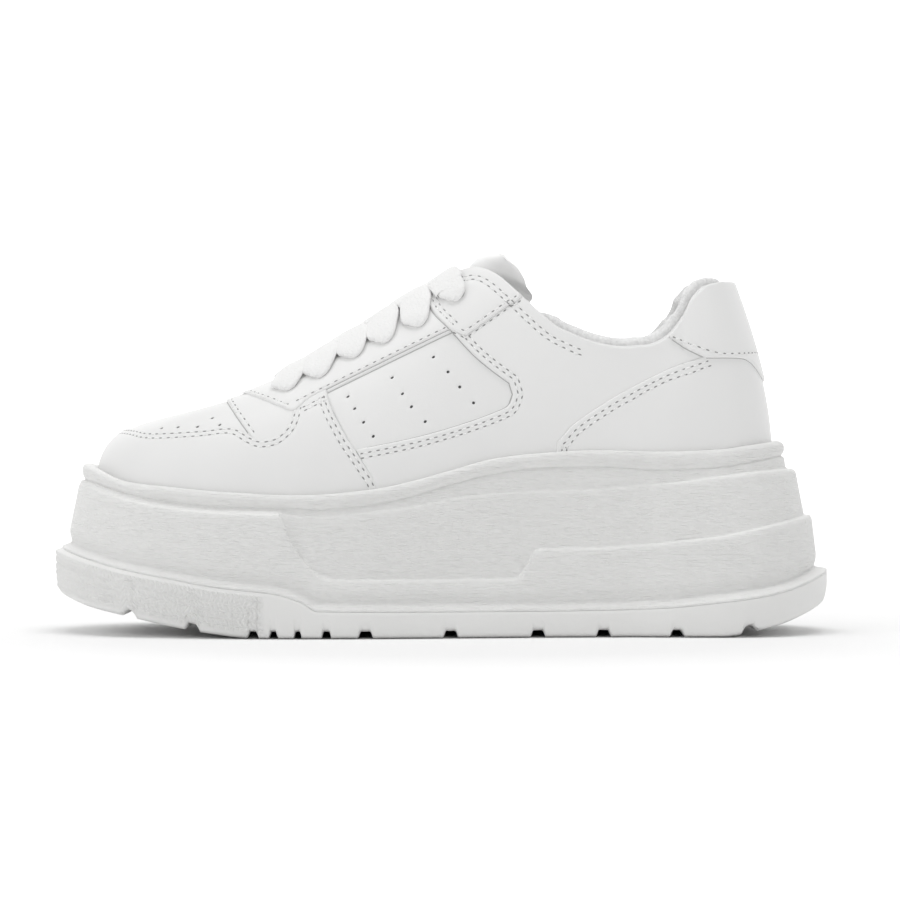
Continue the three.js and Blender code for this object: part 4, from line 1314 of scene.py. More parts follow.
print("a stitch every", STITCH_PITCH, "mm")

# %% [markdown]
# ## Holes of the needle, as painted shade
# Between two stitches the thread dives, and the eye sees a small dark slot, drawn as a disc of
# painted shade. The same discs, rounder and larger, paint the shade on the floors of the perforations.

# %% Painted hole shade and rows beside a seam


def add_shade_discs(turns, heights, top, radius, reach=None, ways=None, corner=10):
    """Small dark discs of painted shade on the surface, for perforations and the gaps between stitches."""
    points, faces = (PUNCH_SHADE_POINTS, PUNCH_SHADE_FACES) if reach is None else (NEEDLE_SHADE_POINTS, NEEDLE_SHADE_FACES)
    places = wall_at(turns, heights, top)
    normals = wall_at(turns, heights, top + 1) - places
    for i, (place, normal) in enumerate(zip(places, normals)):
        way = np.array((0, 0, 1.0)) if ways is None else ways[i]
        side = np.cross(normal, way)
        side /= np.linalg.norm(side)
        other = np.cross(normal, side)
        start = len(points)
        for k in range(corner):
            angle = 2 * math.pi * k / corner
            points.append(place + radius * math.cos(angle) * side
                          + (reach or radius) * math.sin(angle) * other)
        points.append(place - normal * 0.3)
        for k in range(corner):
            faces.append((start + k, start + (k + 1) % corner, start + corner))
        faces.append(tuple(start + k for k in range(corner)))


def seam_beside(seam, side, distance, skip_start=1.5, skip_end=1.5):
    """A stitch row beside a seam; positive distances lie on its left in the side view."""
    line = trace(seam, side)
    return beside(line, side * distance, skip_start, skip_end)


def beside(line, distance, skip_start=1.5, skip_end=1.5):
    """A line moved sideways by a distance in mm and cut short at both ends."""
    row = moved_aside(line, distance) if distance else line
    places = wall_point(*row.T)
    gaps = run_length(places)
    kept = (gaps >= skip_start) & (gaps <= gaps[-1] - skip_end)
    return row[kept]


# %% [markdown]
# ## The shell of the upper
# Below the panels lies the shell, leather outside and lining inside. It is one wall of two
# millimetres that turns over at the top line. The panels cover most of it, so its own mesh
# only needs to be fine enough to stay smooth where it shows.

# %% Upper shell
SHELL = 2.0
SHELL_STATIONS = 264
shell_turns = np.arange(SHELL_STATIONS) / SHELL_STATIONS
shell_rows = [(h, 0.0, 0.0) for h in np.linspace(0, 1, 30)]
shell_rows += [(1, -0.35, 0.45), (1, -1.0, 0.65), (1, -1.65, 0.45)]
shell_rows += [(h, -SHELL, 0.0) for h in np.linspace(1, 0, 24)]
shell_points = []
for height, offset, lift in shell_rows:
    ring = wall_at(shell_turns, np.full(SHELL_STATIONS, height), offset)
    ring[:, 2] += lift
    shell_points.append(ring)
shell_faces = grid_faces(len(shell_rows), SHELL_STATIONS, closed_rows=True)
shell = add_piece("upper_shell", np.concatenate(shell_points), shell_faces, base_leather,
                  ["upper"])
print("shell", len(shell.data.polygons), "faces")

# %% [markdown]
# ## Window and vamp
# The side window and the vamp are the lowest leather. A punch has made rows of small holes in
# them, so that the foot can breathe. Each is a dimple in the mesh with a dark disc of painted
# shade on its floor, because a real cut through would only show the lining behind it.

# %% Window and vamp
WINDOW_HOLES = [(37.8, 27.0), (38.8, 19.6), (40.1, 11.2), (41.5, 2.6), (44.2, 38.8), (45.7, 28.8),
                (47.0, 20.8), (49.0, 11.7), (50.2, 51.6), (52.3, 42.4), (54.0, 33.1), (56.0, 23.3)]
VAMP_HOLES = [(10.4, 7.3), (12.9, 8.0), (15.8, 8.2), (17.9, 13.6), (19.1, 9.4)]
SKIN_TOP = 0.5
PUNCH_RADIUS, PUNCH_DEPTH = 0.62, 0.42
PUNCH_FLOOR = SKIN_TOP - 0.36
PUNCH_SHADE_RADIUS = 0.56


def hole_places(holes, side):
    turn, height, missed = find_on_wall([(x_of(a), up_of(u)) for a, u in holes], side)
    return [(t, h) for t, h, gap in zip(turn, height, missed) if gap < 0.5]


for side, name in ((-1, "outer"), (1, "inner")):
    holes = hole_places(WINDOW_HOLES, side)
    make_panel("window_" + name, window_outline(side), SKIN_TOP, leather, grow=1.2,
               dimples=[(t, h, PUNCH_RADIUS, PUNCH_DEPTH) for t, h in holes], bottom=0.02)
    # a dark disc of painted shade on the floor of each perforation
    add_shade_discs(*np.array(holes).T, PUNCH_FLOOR, PUNCH_SHADE_RADIUS)
vamp_holes = hole_places(VAMP_HOLES, -1) + hole_places(VAMP_HOLES, 1)
make_panel("vamp", two_sided(vamp_half), SKIN_TOP, leather, grow=1.2,
           dimples=[(t, h, PUNCH_RADIUS, PUNCH_DEPTH) for t, h in vamp_holes], bottom=0.02)
# a dark disc of painted shade on the floor of each perforation
add_shade_discs(*np.array(vamp_holes).T, PUNCH_FLOOR, PUNCH_SHADE_RADIUS)
print(2 * len(WINDOW_HOLES) + len(vamp_holes), "perforations")

# %% [markdown]
# ## Eyelets
# Six eyelets stand along each edge of the throat, some way down the wall. They are punched
# through the eyestay and through the facing, so both panels get a round dimple there.

# %% Eyelet places
EYELET_COUNT = 6
FIRST_EYELET, LAST_EYELET = 31.2, 54.8
EYELET_INSET = 13.0


def row_turn(row):
    wanted = x_of(FIRST_EYELET + (LAST_EYELET - FIRST_EYELET) * row / (EYELET_COUNT - 1))
    low, high = 5.5 / COUNT, 11 / COUNT
    for _ in range(30):
        half = (low + high) / 2
        if wall_point(half, 0.9)[0] > wanted:
            low = half
        else:
            high = half
    return (low + high) / 2


ROW_TURNS = [row_turn(row) for row in range(EYELET_COUNT)]


def eyelet_turn(row, side=-1):
    """The turn of a row of eyelets; rows may be fractions and may lie before the first."""
    low = int(np.clip(math.floor(row), 0, EYELET_COUNT - 2))
    turn = ROW_TURNS[low] + (ROW_TURNS[low + 1] - ROW_TURNS[low]) * (row - low)
    return turn if side < 0 else 1 - turn


def height_at_inset(turn, inset):
    """How high a point lies that is some mm below the throat edge, measured on the wall."""
    heights = np.linspace(1, 0.4, 601)
    places = wall_point(np.full(601, turn), heights)
    gaps = np.linalg.norm(places - places[0], axis=1)
    return float(np.interp(inset, gaps, heights))


EYELETS = {-1: [], 1: []}
for row in range(EYELET_COUNT):
    for side in (-1, 1):
        turn = eyelet_turn(row, side)
        EYELETS[side].append((turn, height_at_inset(turn, EYELET_INSET)))
print("eyelets at turns", [round(t, 3) for t, _ in EYELETS[-1]])

# %% [markdown]
# ## The overlays
# Where two panels meet, one lies on the other. The higher one is made a little larger, so
# its edge covers the neighbour. The order here is the order in which a sewer would lay them:
# quarters first, then guard, saddle and eyestay, then facing, counter and tab.

# %% Levels and rows
SADDLE_TOP, GUARD_LEVEL, STRIP_TOP, EYESTAY_TOP = 1.15, 1.4, 1.2, 1.9
QUARTER_TOP, FACING_TOP, COUNTER_LEVEL, TAB_LEVEL = 1.7, 2.5, 2.2, 3.1
SIDES = ((-1, "outer"), (1, "inner"))


def rows_beside(seam, side, distances, skip_start=1.5, skip_end=1.5):
    return [seam_beside(seam, side, distance, skip_start, skip_end) for distance in distances]


def near_heel(rows_of_line):
    """Turns past one half are counted back from the heel, so a heel panel is in one piece."""
    for row in rows_of_line:
        row[:, 0] = np.where(row[:, 0] > 0.5, row[:, 0] - 1, row[:, 0])
    return rows_of_line


def sew_all(rows_of_line, top):
    for row in rows_of_line:
        sew(row, top)


# %% [markdown]
# ## Quarters and facings
# The quarter is the large side panel, and the facing holds the top eyelet. Double rows of
# stitches follow the window, the collar and the front of the facing. The two rows of the
# seam between the panels lie one on each side of it.

# %% Quarters and facings
COLLAR_ROWS = (3.9, 5.5)
COLLAR_ROW_LENGTH = 62.0

for side, name in SIDES:
    quarter, facing = quarter_outline(side), facing_outline(side)
    window_rows = rows_beside(WINDOW_EDGE, side, (1.8, 3.4), 0.6, 1)
    seam_rows = rows_beside(FACING_REAR, side, (-1.05,), 2, 1)
    top_line = level(1, trace(FACING_FRONT, side)[-1, 0], trace(TAB_FRONT, side)[0, 0])
    collar_rows = [beside(top_line, -side * distance, 4, 1) for distance in COLLAR_ROWS]
    collar_rows = [line_points(row, 0.8)[:int(COLLAR_ROW_LENGTH / 0.8)] for row in collar_rows]
    on_facing = [row[inside_loop(row, facing)] for row in collar_rows]
    on_quarter = [row[inside_loop(row, quarter)] for row in collar_rows]
    make_panel("quarter_skin_" + name, quarter, QUARTER_TOP, leather,
               ["quarter_" + name], stitches=window_rows + seam_rows + on_quarter)
    sew_all(window_rows + seam_rows + on_quarter, QUARTER_TOP)
    front_rows = rows_beside(FACING_FRONT, side, (-1.7, -3.3), 0, 0.5)
    facing_rows = front_rows + rows_beside(FACING_REAR, side, (1.05,), 4, 1) + on_facing
    turn, height = EYELETS[side][-1]
    make_panel("facing_skin_" + name, facing, FACING_TOP, leather,
               ["facing_" + name], stitches=facing_rows, dimples=[(turn, height, 2.0, 1.5)], grow=0.3)
    sew_all(facing_rows, FACING_TOP)

# %% [markdown]
# ## Toe guard and saddle
# The guard runs round the toe and up to the eyestay, where it takes the most scuffs. It is
# sewn in one piece with two rows. The saddle bridges the toes between guard and eyestay.

# %% Toe guard and saddle
guard_rows = []
for side, name in SIDES:
    guard_rows += [beside(from_middle(GUARD_TOP, side), side * distance, 0, 1) for distance in (-0.1, -1.8)]
    guard_rows += rows_beside(EYESTAY_LOW[:2], side, (-2.7, -4.2), 1, 2)
    guard_rows += rows_beside(GUARD_EDGE, side, (-0.3, -2.1), 3, 4)
make_panel("guard_skin", two_sided(guard_half), GUARD_LEVEL, leather, ["toe_guard"],
           stitches=guard_rows, grow=1.1)
sew_all(guard_rows, GUARD_LEVEL)

saddle_rows = []
for side, name in SIDES:
    saddle_rows += rows_beside(SADDLE_FRONT, side, (1.7,), 1, 2)
make_panel("saddle_skin", two_sided(saddle_half), SADDLE_TOP, leather, ["saddle"],
           stitches=saddle_rows)
sew_all(saddle_rows, SADDLE_TOP)

# %% [markdown]
# ## Eyestay
# The eyestay holds the laces, so it is doubled: a narrow strip of a second layer shows below
# its edge. Both layers are made as panels, the strip first.

# %% Eyestay
STRIP_REACH = 1.3
eyestay_rows = []
for side, name in SIDES:
    eyestay_rows += rows_beside(EYESTAY_EDGE[:-2], side, (1.7,), 1, 1)
    eyestay_rows += rows_beside(EYESTAY_LOW, side, (0.8,), 0.5, 1)
    strip = trace(EYESTAY_LOW[1:], side)
    outline = np.concatenate([moved_aside(strip, side * 1.5), moved_aside(strip, -side * STRIP_REACH)[::-1]])
    make_panel("eyestay_strip_" + name, outline, STRIP_TOP, leather, spacing=1.5)
eyestay_holes = [(t, h, 2.0, 1.2) for side in (-1, 1) for t, h in EYELETS[side][:-1]]
make_panel("eyestay_skin", two_sided(eyestay_half), EYESTAY_TOP, leather, ["eyestay"],
           stitches=eyestay_rows, dimples=eyestay_holes, grow=0.2)
sew_all(eyestay_rows, EYESTAY_TOP)

# %% [markdown]
# ## Heel counter and heel tab
# The counter cups the heel and stiffens it, and the tab over it takes the pull of the hand.
# Both cross the middle of the heel, so their turns are counted back from there.

# %% Heel counter and heel tab
counter_rows = []
tab_rows = []
for side, name in SIDES:
    counter_rows += near_heel(rows_beside(COUNTER_TOP, side, (-1.7, -3.5), 1, 0))
    tab_rows += near_heel([beside(trace(TAB_STITCH, side), 0, 0, 0)])
make_panel("counter_skin", two_sided(counter_half), COUNTER_LEVEL, leather,
           ["heel_counter"], stitches=counter_rows, grow=0.3)
sew_all(counter_rows, COUNTER_LEVEL)
make_panel("tab_skin", two_sided(tab_half), TAB_LEVEL, leather, ["heel_tab"],
           stitches=tab_rows, grow=0.4)
sew_all(tab_rows, TAB_LEVEL)

# %% [markdown]
# ## Raw edges
# A thin line of shade at the foot of each cut edge tells one white layer from the next. It is
# painted here: a fine grey band of painted shadow lies on the panel below, at the cut edge.

# %% Painted edge shadows
EDGE_SHADOW_POINTS = []
EDGE_SHADOW_FACES = []


def painted_edge_shadow(line, level_below, wide=0.4):
    """A painted shadow at the foot of a cut panel: a thin grey band on the panel below."""
    line = line_points(line, 0.7)
    near, far = moved_aside(line, -wide / 2), moved_aside(line, wide / 2)
    start = len(EDGE_SHADOW_POINTS)
    count = len(line)
    for row, lift in ((near, -0.3), (near, 0.03), (far, 0.03), (far, -0.3)):
        EDGE_SHADOW_POINTS.extend(wall_at(*row.T, level_below + lift))
    for ring in range(4):
        low, high = start + ring * count, start + (ring + 1) % 4 * count
        EDGE_SHADOW_FACES.extend((low + i, low + i + 1, high + i + 1, high + i) for i in range(count - 1))
    EDGE_SHADOW_FACES.append(tuple(start + ring * count for ring in range(4)))
    EDGE_SHADOW_FACES.append(tuple(start + (4 - ring) * count - 1 for ring in range(4)))


# bands of painted shadow, each just beside a cut edge on the panel below
for side, name in SIDES:
    low_edge = trace(EYESTAY_LOW[1:], side)
    painted_edge_shadow(moved_aside(low_edge, -side * (STRIP_REACH + 0.15)), SKIN_TOP, 0.5)
    painted_edge_shadow(beside(trace(EYESTAY_LOW, side), -side * 0.35, 1, 0), STRIP_TOP, 0.3)
    painted_edge_shadow(beside(trace(FACING_FRONT, side), side * 0.45, 0, 5), EYESTAY_TOP, 0.5)
    painted_edge_shadow(beside(trace(WINDOW_EDGE[:6], side), -side * 0.15, 0, 0), SKIN_TOP, 0.45)
    painted_edge_shadow(beside(trace(WINDOW_EDGE[5:], side), -side * 0.12, 0, 4), SKIN_TOP, 0.25)
    painted_edge_shadow(beside(trace(SADDLE_FRONT, side), -side * 0.15, 2.5, 3), SKIN_TOP, 0.45)
    painted_edge_shadow(beside(near_heel([trace(TAB_FRONT, side)])[0], -side * 0.55, 1, 0.5), QUARTER_TOP, 0.5)
    painted_edge_shadow(beside(near_heel([trace(TAB_LOW, side)])[0], -side * 0.5, 0, 0), COUNTER_LEVEL, 0.4)
# the grey of the painted edge shadows
edge_shadow_grey, _, _, _ = new_material("painted_edge_shadow", (0.5, 0.5, 0.495), 0.9, 0.0)
add_piece("painted_edge_shadows", EDGE_SHADOW_POINTS, EDGE_SHADOW_FACES, edge_shadow_grey)
print("raw edges", len(EDGE_SHADOW_FACES), "faces")

# %% [markdown]
# ## Thread and painted hole shade as single meshes
# Several hundred stitches as single objects would slow Blender down and crowd the outliner.
# All of one kind share a mesh, a material and a place on the shoe.

# %% Join the stitches and the painted hole shade
thread, _, _, _ = new_material("thread", (0.87, 0.87, 0.865), 0.8, 0.2)
# dark discs of painted shade in the needle holes
needle_shade_dark, _, _, _ = new_material("painted_needle_shade", (0.3, 0.3, 0.298), 0.9, 0.0)
add_piece("stitches", STITCH_POINTS, STITCH_FACES, thread, angle=math.radians(80))
add_piece("painted_needle_shade", NEEDLE_SHADE_POINTS, NEEDLE_SHADE_FACES, needle_shade_dark)
# near black discs of painted shade in the perforations
punch_shade_dark, _, _, _ = new_material("painted_punch_shade", (0.1, 0.1, 0.1), 0.9, 0.0)
add_piece("painted_punch_shade", PUNCH_SHADE_POINTS, PUNCH_SHADE_FACES, punch_shade_dark)
print("stitches", len(STITCH_FACES) // 26)

# %% [markdown]
# ## Padding of the collar
# A soft roll of foam runs inside the top line, from one facing round the heel to the other.
# It stands a little over the leather. Its cover is a knitted mesh, in which the ribs run
# up and down, so we wave the surface along the roll.

# %% Collar padding
PADDING_GAP, PADDING_THICKNESS, PADDING_RISE = 2.4, 6.0, 4.0
PADDING_END = 4.85 / COUNT
PADDING_PROFILE = np.array([(1, 0.05, 0), (1, 0.16, 0.75), (1, 0.5, 1), (1, 0.88, 0.5), (0.88, 1, 0),
                            (0.72, 0.75, 0), (0.58, 0.25, 0), (0.58, 0, 0), (0.72, 0, 0), (0.88, 0, 0)])
RIB_PITCH = 1.15
RIB_DEPTH = 0.09


def padding_cover():
    profile = closed_curve(PADDING_PROFILE)(np.arange(30) / 30)
    turns = np.linspace(-PADDING_END, PADDING_END, 900)
    ends = np.minimum(1, np.sqrt(np.clip((PADDING_END - np.abs(turns)) / 0.012, 0.02, 1)))
    edge = wall_point(turns, np.ones(len(turns)))
    arc = run_length(edge)
    tangent = np.gradient(edge, axis=0)
    tangent /= np.linalg.norm(tangent, axis=1, keepdims=True)
    rising = np.array([0, 0, 1]) - tangent * tangent[:, 2:3]
    rising /= np.linalg.norm(rising, axis=1, keepdims=True)
    rib = np.sin(2 * math.pi * arc / RIB_PITCH)
    rings = []
    for height, depth, lift in profile:
        inward = np.clip(depth, 0, 1)
        offset = -PADDING_GAP - PADDING_THICKNESS * (0.5 + (inward - 0.5) * ends)
        offset += RIB_DEPTH * rib * (inward > 0.3)
        ring = wall_at(turns, np.full(len(turns), min(height, 1.0)), offset)
        ring += rising * (lift * PADDING_RISE * ends)[:, None]
        rings.append(ring)
    return np.stack(rings, 1).reshape(-1, 3), len(turns), len(profile)


print("ribs every", RIB_PITCH, "mm")

# %% [markdown]
# ## Knitted cover
# The knit is too fine to model, so a cell pattern makes its bump and a noise its tone.

# %% Knitted cover


def make_fabric(name, light, dark, scale):
    material, nodes, links, shader = new_material(name, light, 0.95, 0.15)
    vector = object_space(nodes, links, (1, 1, 1))
    tint_with_noise(nodes, links, shader, vector, scale, light, dark)
    weave = nodes.new("ShaderNodeTexVoronoi")
    weave.inputs["Scale"].default_value = 1500
    links.new(vector, weave.inputs["Vector"])
    add_bump(nodes, links, shader, weave.outputs["Distance"], 0.5, 0.0003)
    return material


mesh_fabric = make_fabric("lining_mesh", (0.88, 0.88, 0.875), (0.74, 0.74, 0.74), 700)
padding_points, padding_rings, padding_columns = padding_cover()
padding_faces = grid_faces(padding_rings, padding_columns)
padding_faces.append(tuple(reversed(range(padding_columns))))
padding_faces.append(tuple((padding_rings - 1) * padding_columns + i for i in range(padding_columns)))
padding = add_piece("collar_roll", padding_points, padding_faces, mesh_fabric,
                    ["collar_padding"], angle=math.radians(60))
print("collar roll", padding_rings, "rings of", padding_columns)

# %% [markdown]
# ## Insole
# The sock that the foot stands on is a foam sheet under fabric. It fills the floor of the
# shoe, just inside the shell.

# %% Insole
INSOLE_THICKNESS = 4.0
SOCK_INSET = 2.9
sock_turns = sole_stations([], 3.0)
sock_lines = [
    sole_ring(sock_turns, -SOCK_INSET, bed_at, PIECE_GAP),
    sole_ring(sock_turns, -SOCK_INSET, bed_at, PIECE_GAP + INSOLE_THICKNESS - 1),
    sole_ring(sock_turns, -SOCK_INSET - 1.1, bed_at, PIECE_GAP + INSOLE_THICKNESS),
    sole_ring(sock_turns, -SOCK_INSET - 6.1, bed_at, PIECE_GAP + INSOLE_THICKNESS - 0.3),
]
sock_rings = round_corners(sock_lines, [0, 0.5, 0.9, 0])
sock_faces = grid_faces(len(sock_rings), len(sock_turns)) + cap_faces(0, len(sock_turns))
sock_faces += cap_faces((len(sock_rings) - 1) * len(sock_turns), len(sock_turns))
sock_fabric = make_fabric("sock_fabric", (0.72, 0.72, 0.71), (0.66, 0.66, 0.65), 500)
add_piece("sock", np.concatenate(sock_rings), sock_faces, sock_fabric, ["insole"])
print("sock", len(sock_rings), "rings of", len(sock_turns))

# %% [markdown]
# ## Tongue
# Under the laces the tongue lies against the inside of the throat, pressed down a little by
# the ribbons. Above the last row it runs free and ends in a rounded, padded top.

# %% Faces of the tongue
TONGUE_TURNS = [10.4, 9.6, 8.9, 8.2, 7.5, 6.9]
TONGUE_HEIGHTS = (0.84, 0.92, 1.0)
TONGUE_DROP = [2.6, 2.9, 2.9, 2.9, 2.8, 2.6]
TONGUE_THICKNESS = 5.0
# along, up, edge along, edge up, across, thickness
TONGUE_TOP = [(54, 103.5, 62.0, 89.5, 34, 1), (55.9, 113.6, 62.3, 102.0, 38, 1),
              (57.1, 117.8, 61.5, 110.5, 39, 0.95), (58.4, 119.6, 60.8, 114.5, 38, 0.8),
              (59.3, 119.9, 60.3, 117.4, 33, 0.45)]


def tongue_row(row, drop, depth):
    turn = row / COUNT
    outer = [wall_at(turn, height, -drop - depth) for height in TONGUE_HEIGHTS]
    middle = wall_at(turn, 1.0, -drop - depth)
    middle[1] = 0
    middle[2] += 3.4
    inner = [wall_at(1 - turn, height, -drop - depth) for height in TONGUE_HEIGHTS[::-1]]
    return np.array([*outer, middle, *inner])


def tongue_top_row(along, up, edge_along, edge_up, across, thickness, depth):
    row = []
    for share in (-1, -0.82, -0.5, 0, 0.5, 0.82, 1):
        bow = share * share
        back = depth * TONGUE_THICKNESS * thickness
        row.append((x_of(along + (edge_along - along) * bow) + back * 0.75,
                    share * across / 100 * HALF_WIDTH + np.sign(share) * bow * back * 0.2,
                    up_of(up + (edge_up - up) * bow) - back * 0.5))
    return np.array(row)


def refine(rows_of_points, steps):
    """Smooth rows between given rows, through every one of them."""
    given = np.array(rows_of_points)
    longer = np.concatenate([2 * given[:1] - given[1:2], given, 2 * given[-1:] - given[-2:-1]])
    result = [given[0]]
    for a, b, c, d in zip(longer, longer[1:], longer[2:], longer[3:]):
        result += [cubic(a, b, c, d, t) for t in np.arange(1, steps + 1) / steps]
    return np.array(result)


def tongue_face(depth):
    rows_here = [tongue_row(row, drop, depth * TONGUE_THICKNESS)
                 for row, drop in zip(TONGUE_TURNS, TONGUE_DROP)]
    rows_here += [tongue_top_row(*row, depth) for row in TONGUE_TOP]
    rows_here = refine(rows_here, 8)
    return refine(rows_here.transpose(1, 0, 2), 5).transpose(1, 0, 2)


print("tongue rows follow", len(TONGUE_TURNS), "turns and", len(TONGUE_TOP), "free rows")

# %% [markdown]
# ## Closing the tongue
# The front and the back of the tongue are two grids. A point between them on each side makes
# the edge round, and a last row over the top closes the tip.

# %% Tongue
front_face, back_face = tongue_face(0), tongue_face(1)
tongue_rows, tongue_columns = front_face.shape[:2]
rounds = []
for i in range(tongue_rows):
    left = (front_face[i, 0] + back_face[i, 0]) / 2 + (front_face[i, 0] - front_face[i, 1]) * 0.2
    right = (front_face[i, -1] + back_face[i, -1]) / 2 + (front_face[i, -1] - front_face[i, -2]) * 0.2
    rounds.append(np.concatenate([front_face[i], [right], back_face[i][::-1], [left]]))
middle_line = (front_face[-1] + back_face[-1]) / 2 + (0, 0, 0.5)
ring_size = len(rounds[0])
tongue_points = np.concatenate([*rounds, middle_line])
tongue_faces = grid_faces(tongue_rows, ring_size)
last, top_start = (tongue_rows - 1) * ring_size, tongue_rows * ring_size
for k in range(tongue_columns - 1):
    tongue_faces.append((last + k, last + k + 1, top_start + k + 1, top_start + k))
    back_k = last + ring_size - 2 - k
    tongue_faces.append((back_k - 1, back_k, top_start + k, top_start + k + 1))
tongue_faces.append((last + ring_size - 1, last, top_start, last + ring_size - 2))
tongue_faces.append((last + tongue_columns - 1, last + tongue_columns, last + tongue_columns + 1,
                     top_start + tongue_columns - 1))
tongue_faces.append(tuple(reversed(range(ring_size))))
# a brighter copy of the leather: painted light that offsets the shade on the tongue
tongue_leather_painted_light = make_leather("tongue_leather_painted_light", (0.93, 0.93, 0.925), (0.92, 0.92, 0.915), 0.5)
tongue = add_piece("tongue_pad", tongue_points, tongue_faces, tongue_leather_painted_light, ["tongue"],
                   angle=math.radians(35))
print("tongue", tongue_rows, "rows of", tongue_columns)

# %% [markdown]
# ## Laces
# The laces are flat woven tubes, a good centimetre wide, so they lie like soft ribbons. The
# first row goes straight across. In the other rows each ribbon comes up over the edge of the
# throat, bends over and goes down into its eyelet; in the middle the two ribbons of a row
# cross, and toe-wards each one dives under the eyestay of the other side. The ends are
# tucked in at the top eyelets.

# %% Paths of the lace
LACE_STEP = 0.5
LACE_RIB = 0.95
LACE_LEAN = 0.9
PLEATS = 4.5
# rows toe-wards of the round end, part of the reach, mm back from the end, lift, width, thickness
LACE_RISE = [(0.0, 1, 0, 0.3, 3.4, 1.7), (0.0, 1, 0.7, 0.6, 6.8, 2.2), (0.03, 1, 2.2, 0.9, 9.4, 2.6),
             (0.1, 1, 4.8, 1.2, 11.0, 2.8), (0.28, 0.52, 0, 1.4, 12.2, 2.8), (0.5, 0.26, 0, 1.4, 13.2, 2.6)]

throat_line = wall_point(eyelet_turn(EYELET_COUNT - 1), 1.0) - wall_point(eyelet_turn(0), 1.0)
THROAT_ALONG = np.array([throat_line[0], 0, throat_line[2]])
THROAT_ALONG /= np.linalg.norm(THROAT_ALONG)
THROAT_UP = np.array([-THROAT_ALONG[2], 0, THROAT_ALONG[0]])
# the round end of each row: rows heel-wards of its eyelet, and mm down from the throat edge
HANG_ROWS = (0.32, 0.2, 0.08, -0.02, -0.02, -0.12)
HANG_REACH = (26.5, 25.8, 23.0, 22.9, 22.2, 15.8)


def throat_point(row, side, offset=0.0):
    """A point of the throat edge and the way out of the wall there."""
    turn = eyelet_turn(row, side)
    place = wall_at(turn, 1.0, 0.0)
    normal = wall_at(turn, 1.0, 1.0) - place
    return place + normal * offset, normal


def lace_path(row, side, over):
    """Points, ways up, widths and thicknesses of one ribbon, from its eyelet to its hidden end."""
    base = FACING_TOP if row == EYELET_COUNT - 1 else EYESTAY_TOP
    path = []
    for shift, share, back, lift, width, thickness in LACE_RISE:
        turn = eyelet_turn(row - shift + HANG_ROWS[row], side)
        height = height_at_inset(turn, HANG_REACH[row] * share - back)
        place = wall_at(turn, height, base + lift)
        path.append((place, wall_at(turn, height, base + lift + 1) - place, width, thickness))
    edge, edge_normal = throat_point(row - LACE_LEAN, side)
    edge_up = edge_normal + THROAT_UP
    edge_up /= np.linalg.norm(edge_up)
    width = 11.4 if row == EYELET_COUNT - 1 else 13.8
    path.append((edge + edge_up * (EYESTAY_TOP + 1.1), edge_up, width, 2.4))
    if row == 0:
        return path
    cross_row = row - LACE_LEAN - 0.3
    middle = (throat_point(cross_row, -1)[0] + throat_point(cross_row, 1)[0]) / 2
    path.append((middle + THROAT_UP * (3.6 if over else 1.6), THROAT_UP, 12.0, 2.1))
    near, _ = throat_point(cross_row - 0.3, -side)
    inward = np.array([0, -np.sign(near[1]), 0])
    path.append((near + inward * 4.0 - THROAT_UP * 0.9, THROAT_UP, 9.4, 1.8))
    hidden, hidden_normal = throat_point(cross_row - 0.45, -side, -3.3)
    path.append((hidden - inward * 1.5, hidden_normal, 7.0, 1.5))
    return path


print("lace reaches", HANG_REACH, "mm down from the throat edge")

# %% [markdown]
# ## From a path to a ribbon
# A ribbon is a flat oval carried along its path. Where the lace squeezes into its eyelet the
# oval narrows and the cloth gathers into pleats, so the pleats deepen as the width falls.

# %% Ribbon mesh


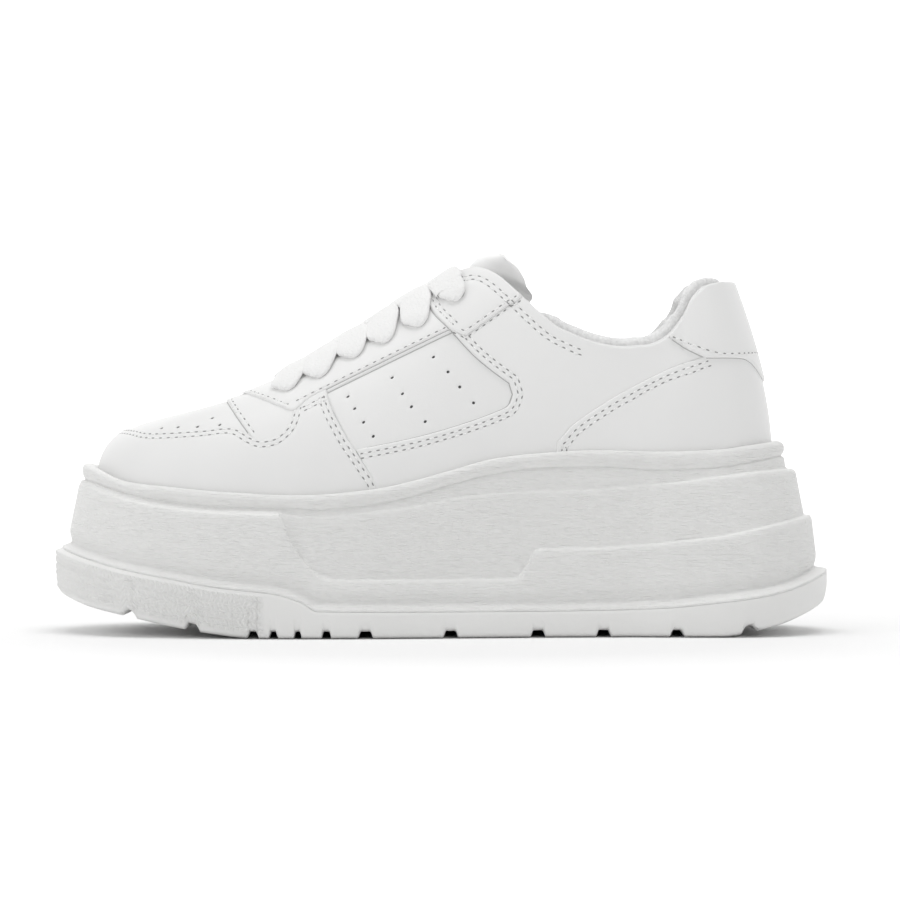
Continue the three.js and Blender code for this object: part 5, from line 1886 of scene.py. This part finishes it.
def ribbon_mesh(path, corner=32):
    points = np.array([p[0] for p in path])
    ups = np.array([p[1] / np.linalg.norm(p[1]) for p in path])
    sizes = np.array([(p[2], p[3]) for p in path])
    every = refine(np.concatenate([points, ups, sizes], 1), 16)
    gaps = run_length(every[:, :3])
    marks = np.linspace(0, gaps[-1], max(8, int(gaps[-1] / LACE_STEP)))
    every = np.stack([np.interp(marks, gaps, every[:, k]) for k in range(every.shape[1])], 1)
    centre, up, size = every[:, :3], every[:, 3:6], every[:, 6:8]
    along = np.gradient(centre, axis=0)
    along /= np.linalg.norm(along, axis=1, keepdims=True)
    across = np.cross(along, up)
    across /= np.linalg.norm(across, axis=1, keepdims=True)
    up = np.cross(across, along)
    angles = 2 * math.pi * np.arange(corner) / corner
    wide = np.sign(np.cos(angles)) * np.abs(np.cos(angles)) ** 0.75 * 0.5
    thick = np.sign(np.sin(angles)) * np.abs(np.sin(angles)) ** 0.8 * 0.5
    rib = 1 + 0.025 * np.sin(2 * math.pi * marks / LACE_RIB)
    pleat = np.cos(2 * math.pi * PLEATS * wide) * (np.abs(wide) < 0.42) * np.sign(thick)
    gathered = np.clip((11.5 - size[:, 0]) / 7, 0, 1) * 0.26 + 0.05
    rings = (centre[:, None] + across[:, None] * (wide[None, :, None] * size[:, 0][:, None, None])
             + up[:, None] * (thick[None, :] * (size[:, 1] * rib)[:, None]
                              + pleat[None, :] * gathered[:, None])[..., None])
    count = len(marks)
    faces = grid_faces(count, corner)
    faces.append(tuple(reversed(range(corner))))
    faces.append(tuple((count - 1) * corner + i for i in range(corner)))
    return rings.reshape(-1, 3), faces

# %% [markdown]
# ## Lacing up
# Woven cotton is matt, with a tiny pattern that only shows as a soft bump. Row by row the
# ribbons are built and joined, so each crossing stands for the solid of the same name.

# %% Lace ribbons


def make_cotton():
    material, nodes, links, shader = new_material("lace_cotton", (0.86, 0.86, 0.855), 0.9, 0.2)
    vector = object_space(nodes, links, (1, 1, 1))
    weave = nodes.new("ShaderNodeTexVoronoi")
    weave.inputs["Scale"].default_value = 1100
    links.new(vector, weave.inputs["Vector"])
    add_bump(nodes, links, shader, weave.outputs["Distance"], 0.45, 0.0004)
    return material


cotton = make_cotton()
for row in range(EYELET_COUNT):
    if row == 0:
        bar = lace_path(0, -1, True)
        other = lace_path(0, 1, True)[::-1]
        top = (bar[-1][0] + other[0][0]) / 2 + THROAT_UP * 0.8
        points, faces = ribbon_mesh([*bar, (top, THROAT_UP, 9.4, 2.3), *other])
    else:
        points, faces = ribbon_mesh(lace_path(row, -1, row % 2 == 0))
        more_points, more_faces = ribbon_mesh(lace_path(row, 1, row % 2 == 1))
        faces = faces + [tuple(i + len(points) for i in face) for face in more_faces]
        points = np.concatenate([points, more_points])
    name = "lace_bar_1" if row == 0 else f"lace_crossing_{row + 1}"
    add_piece("ribbon_row_" + str(row + 1), points, faces, cotton, [name],
              angle=math.radians(60))
    print(name, len(faces), "faces")
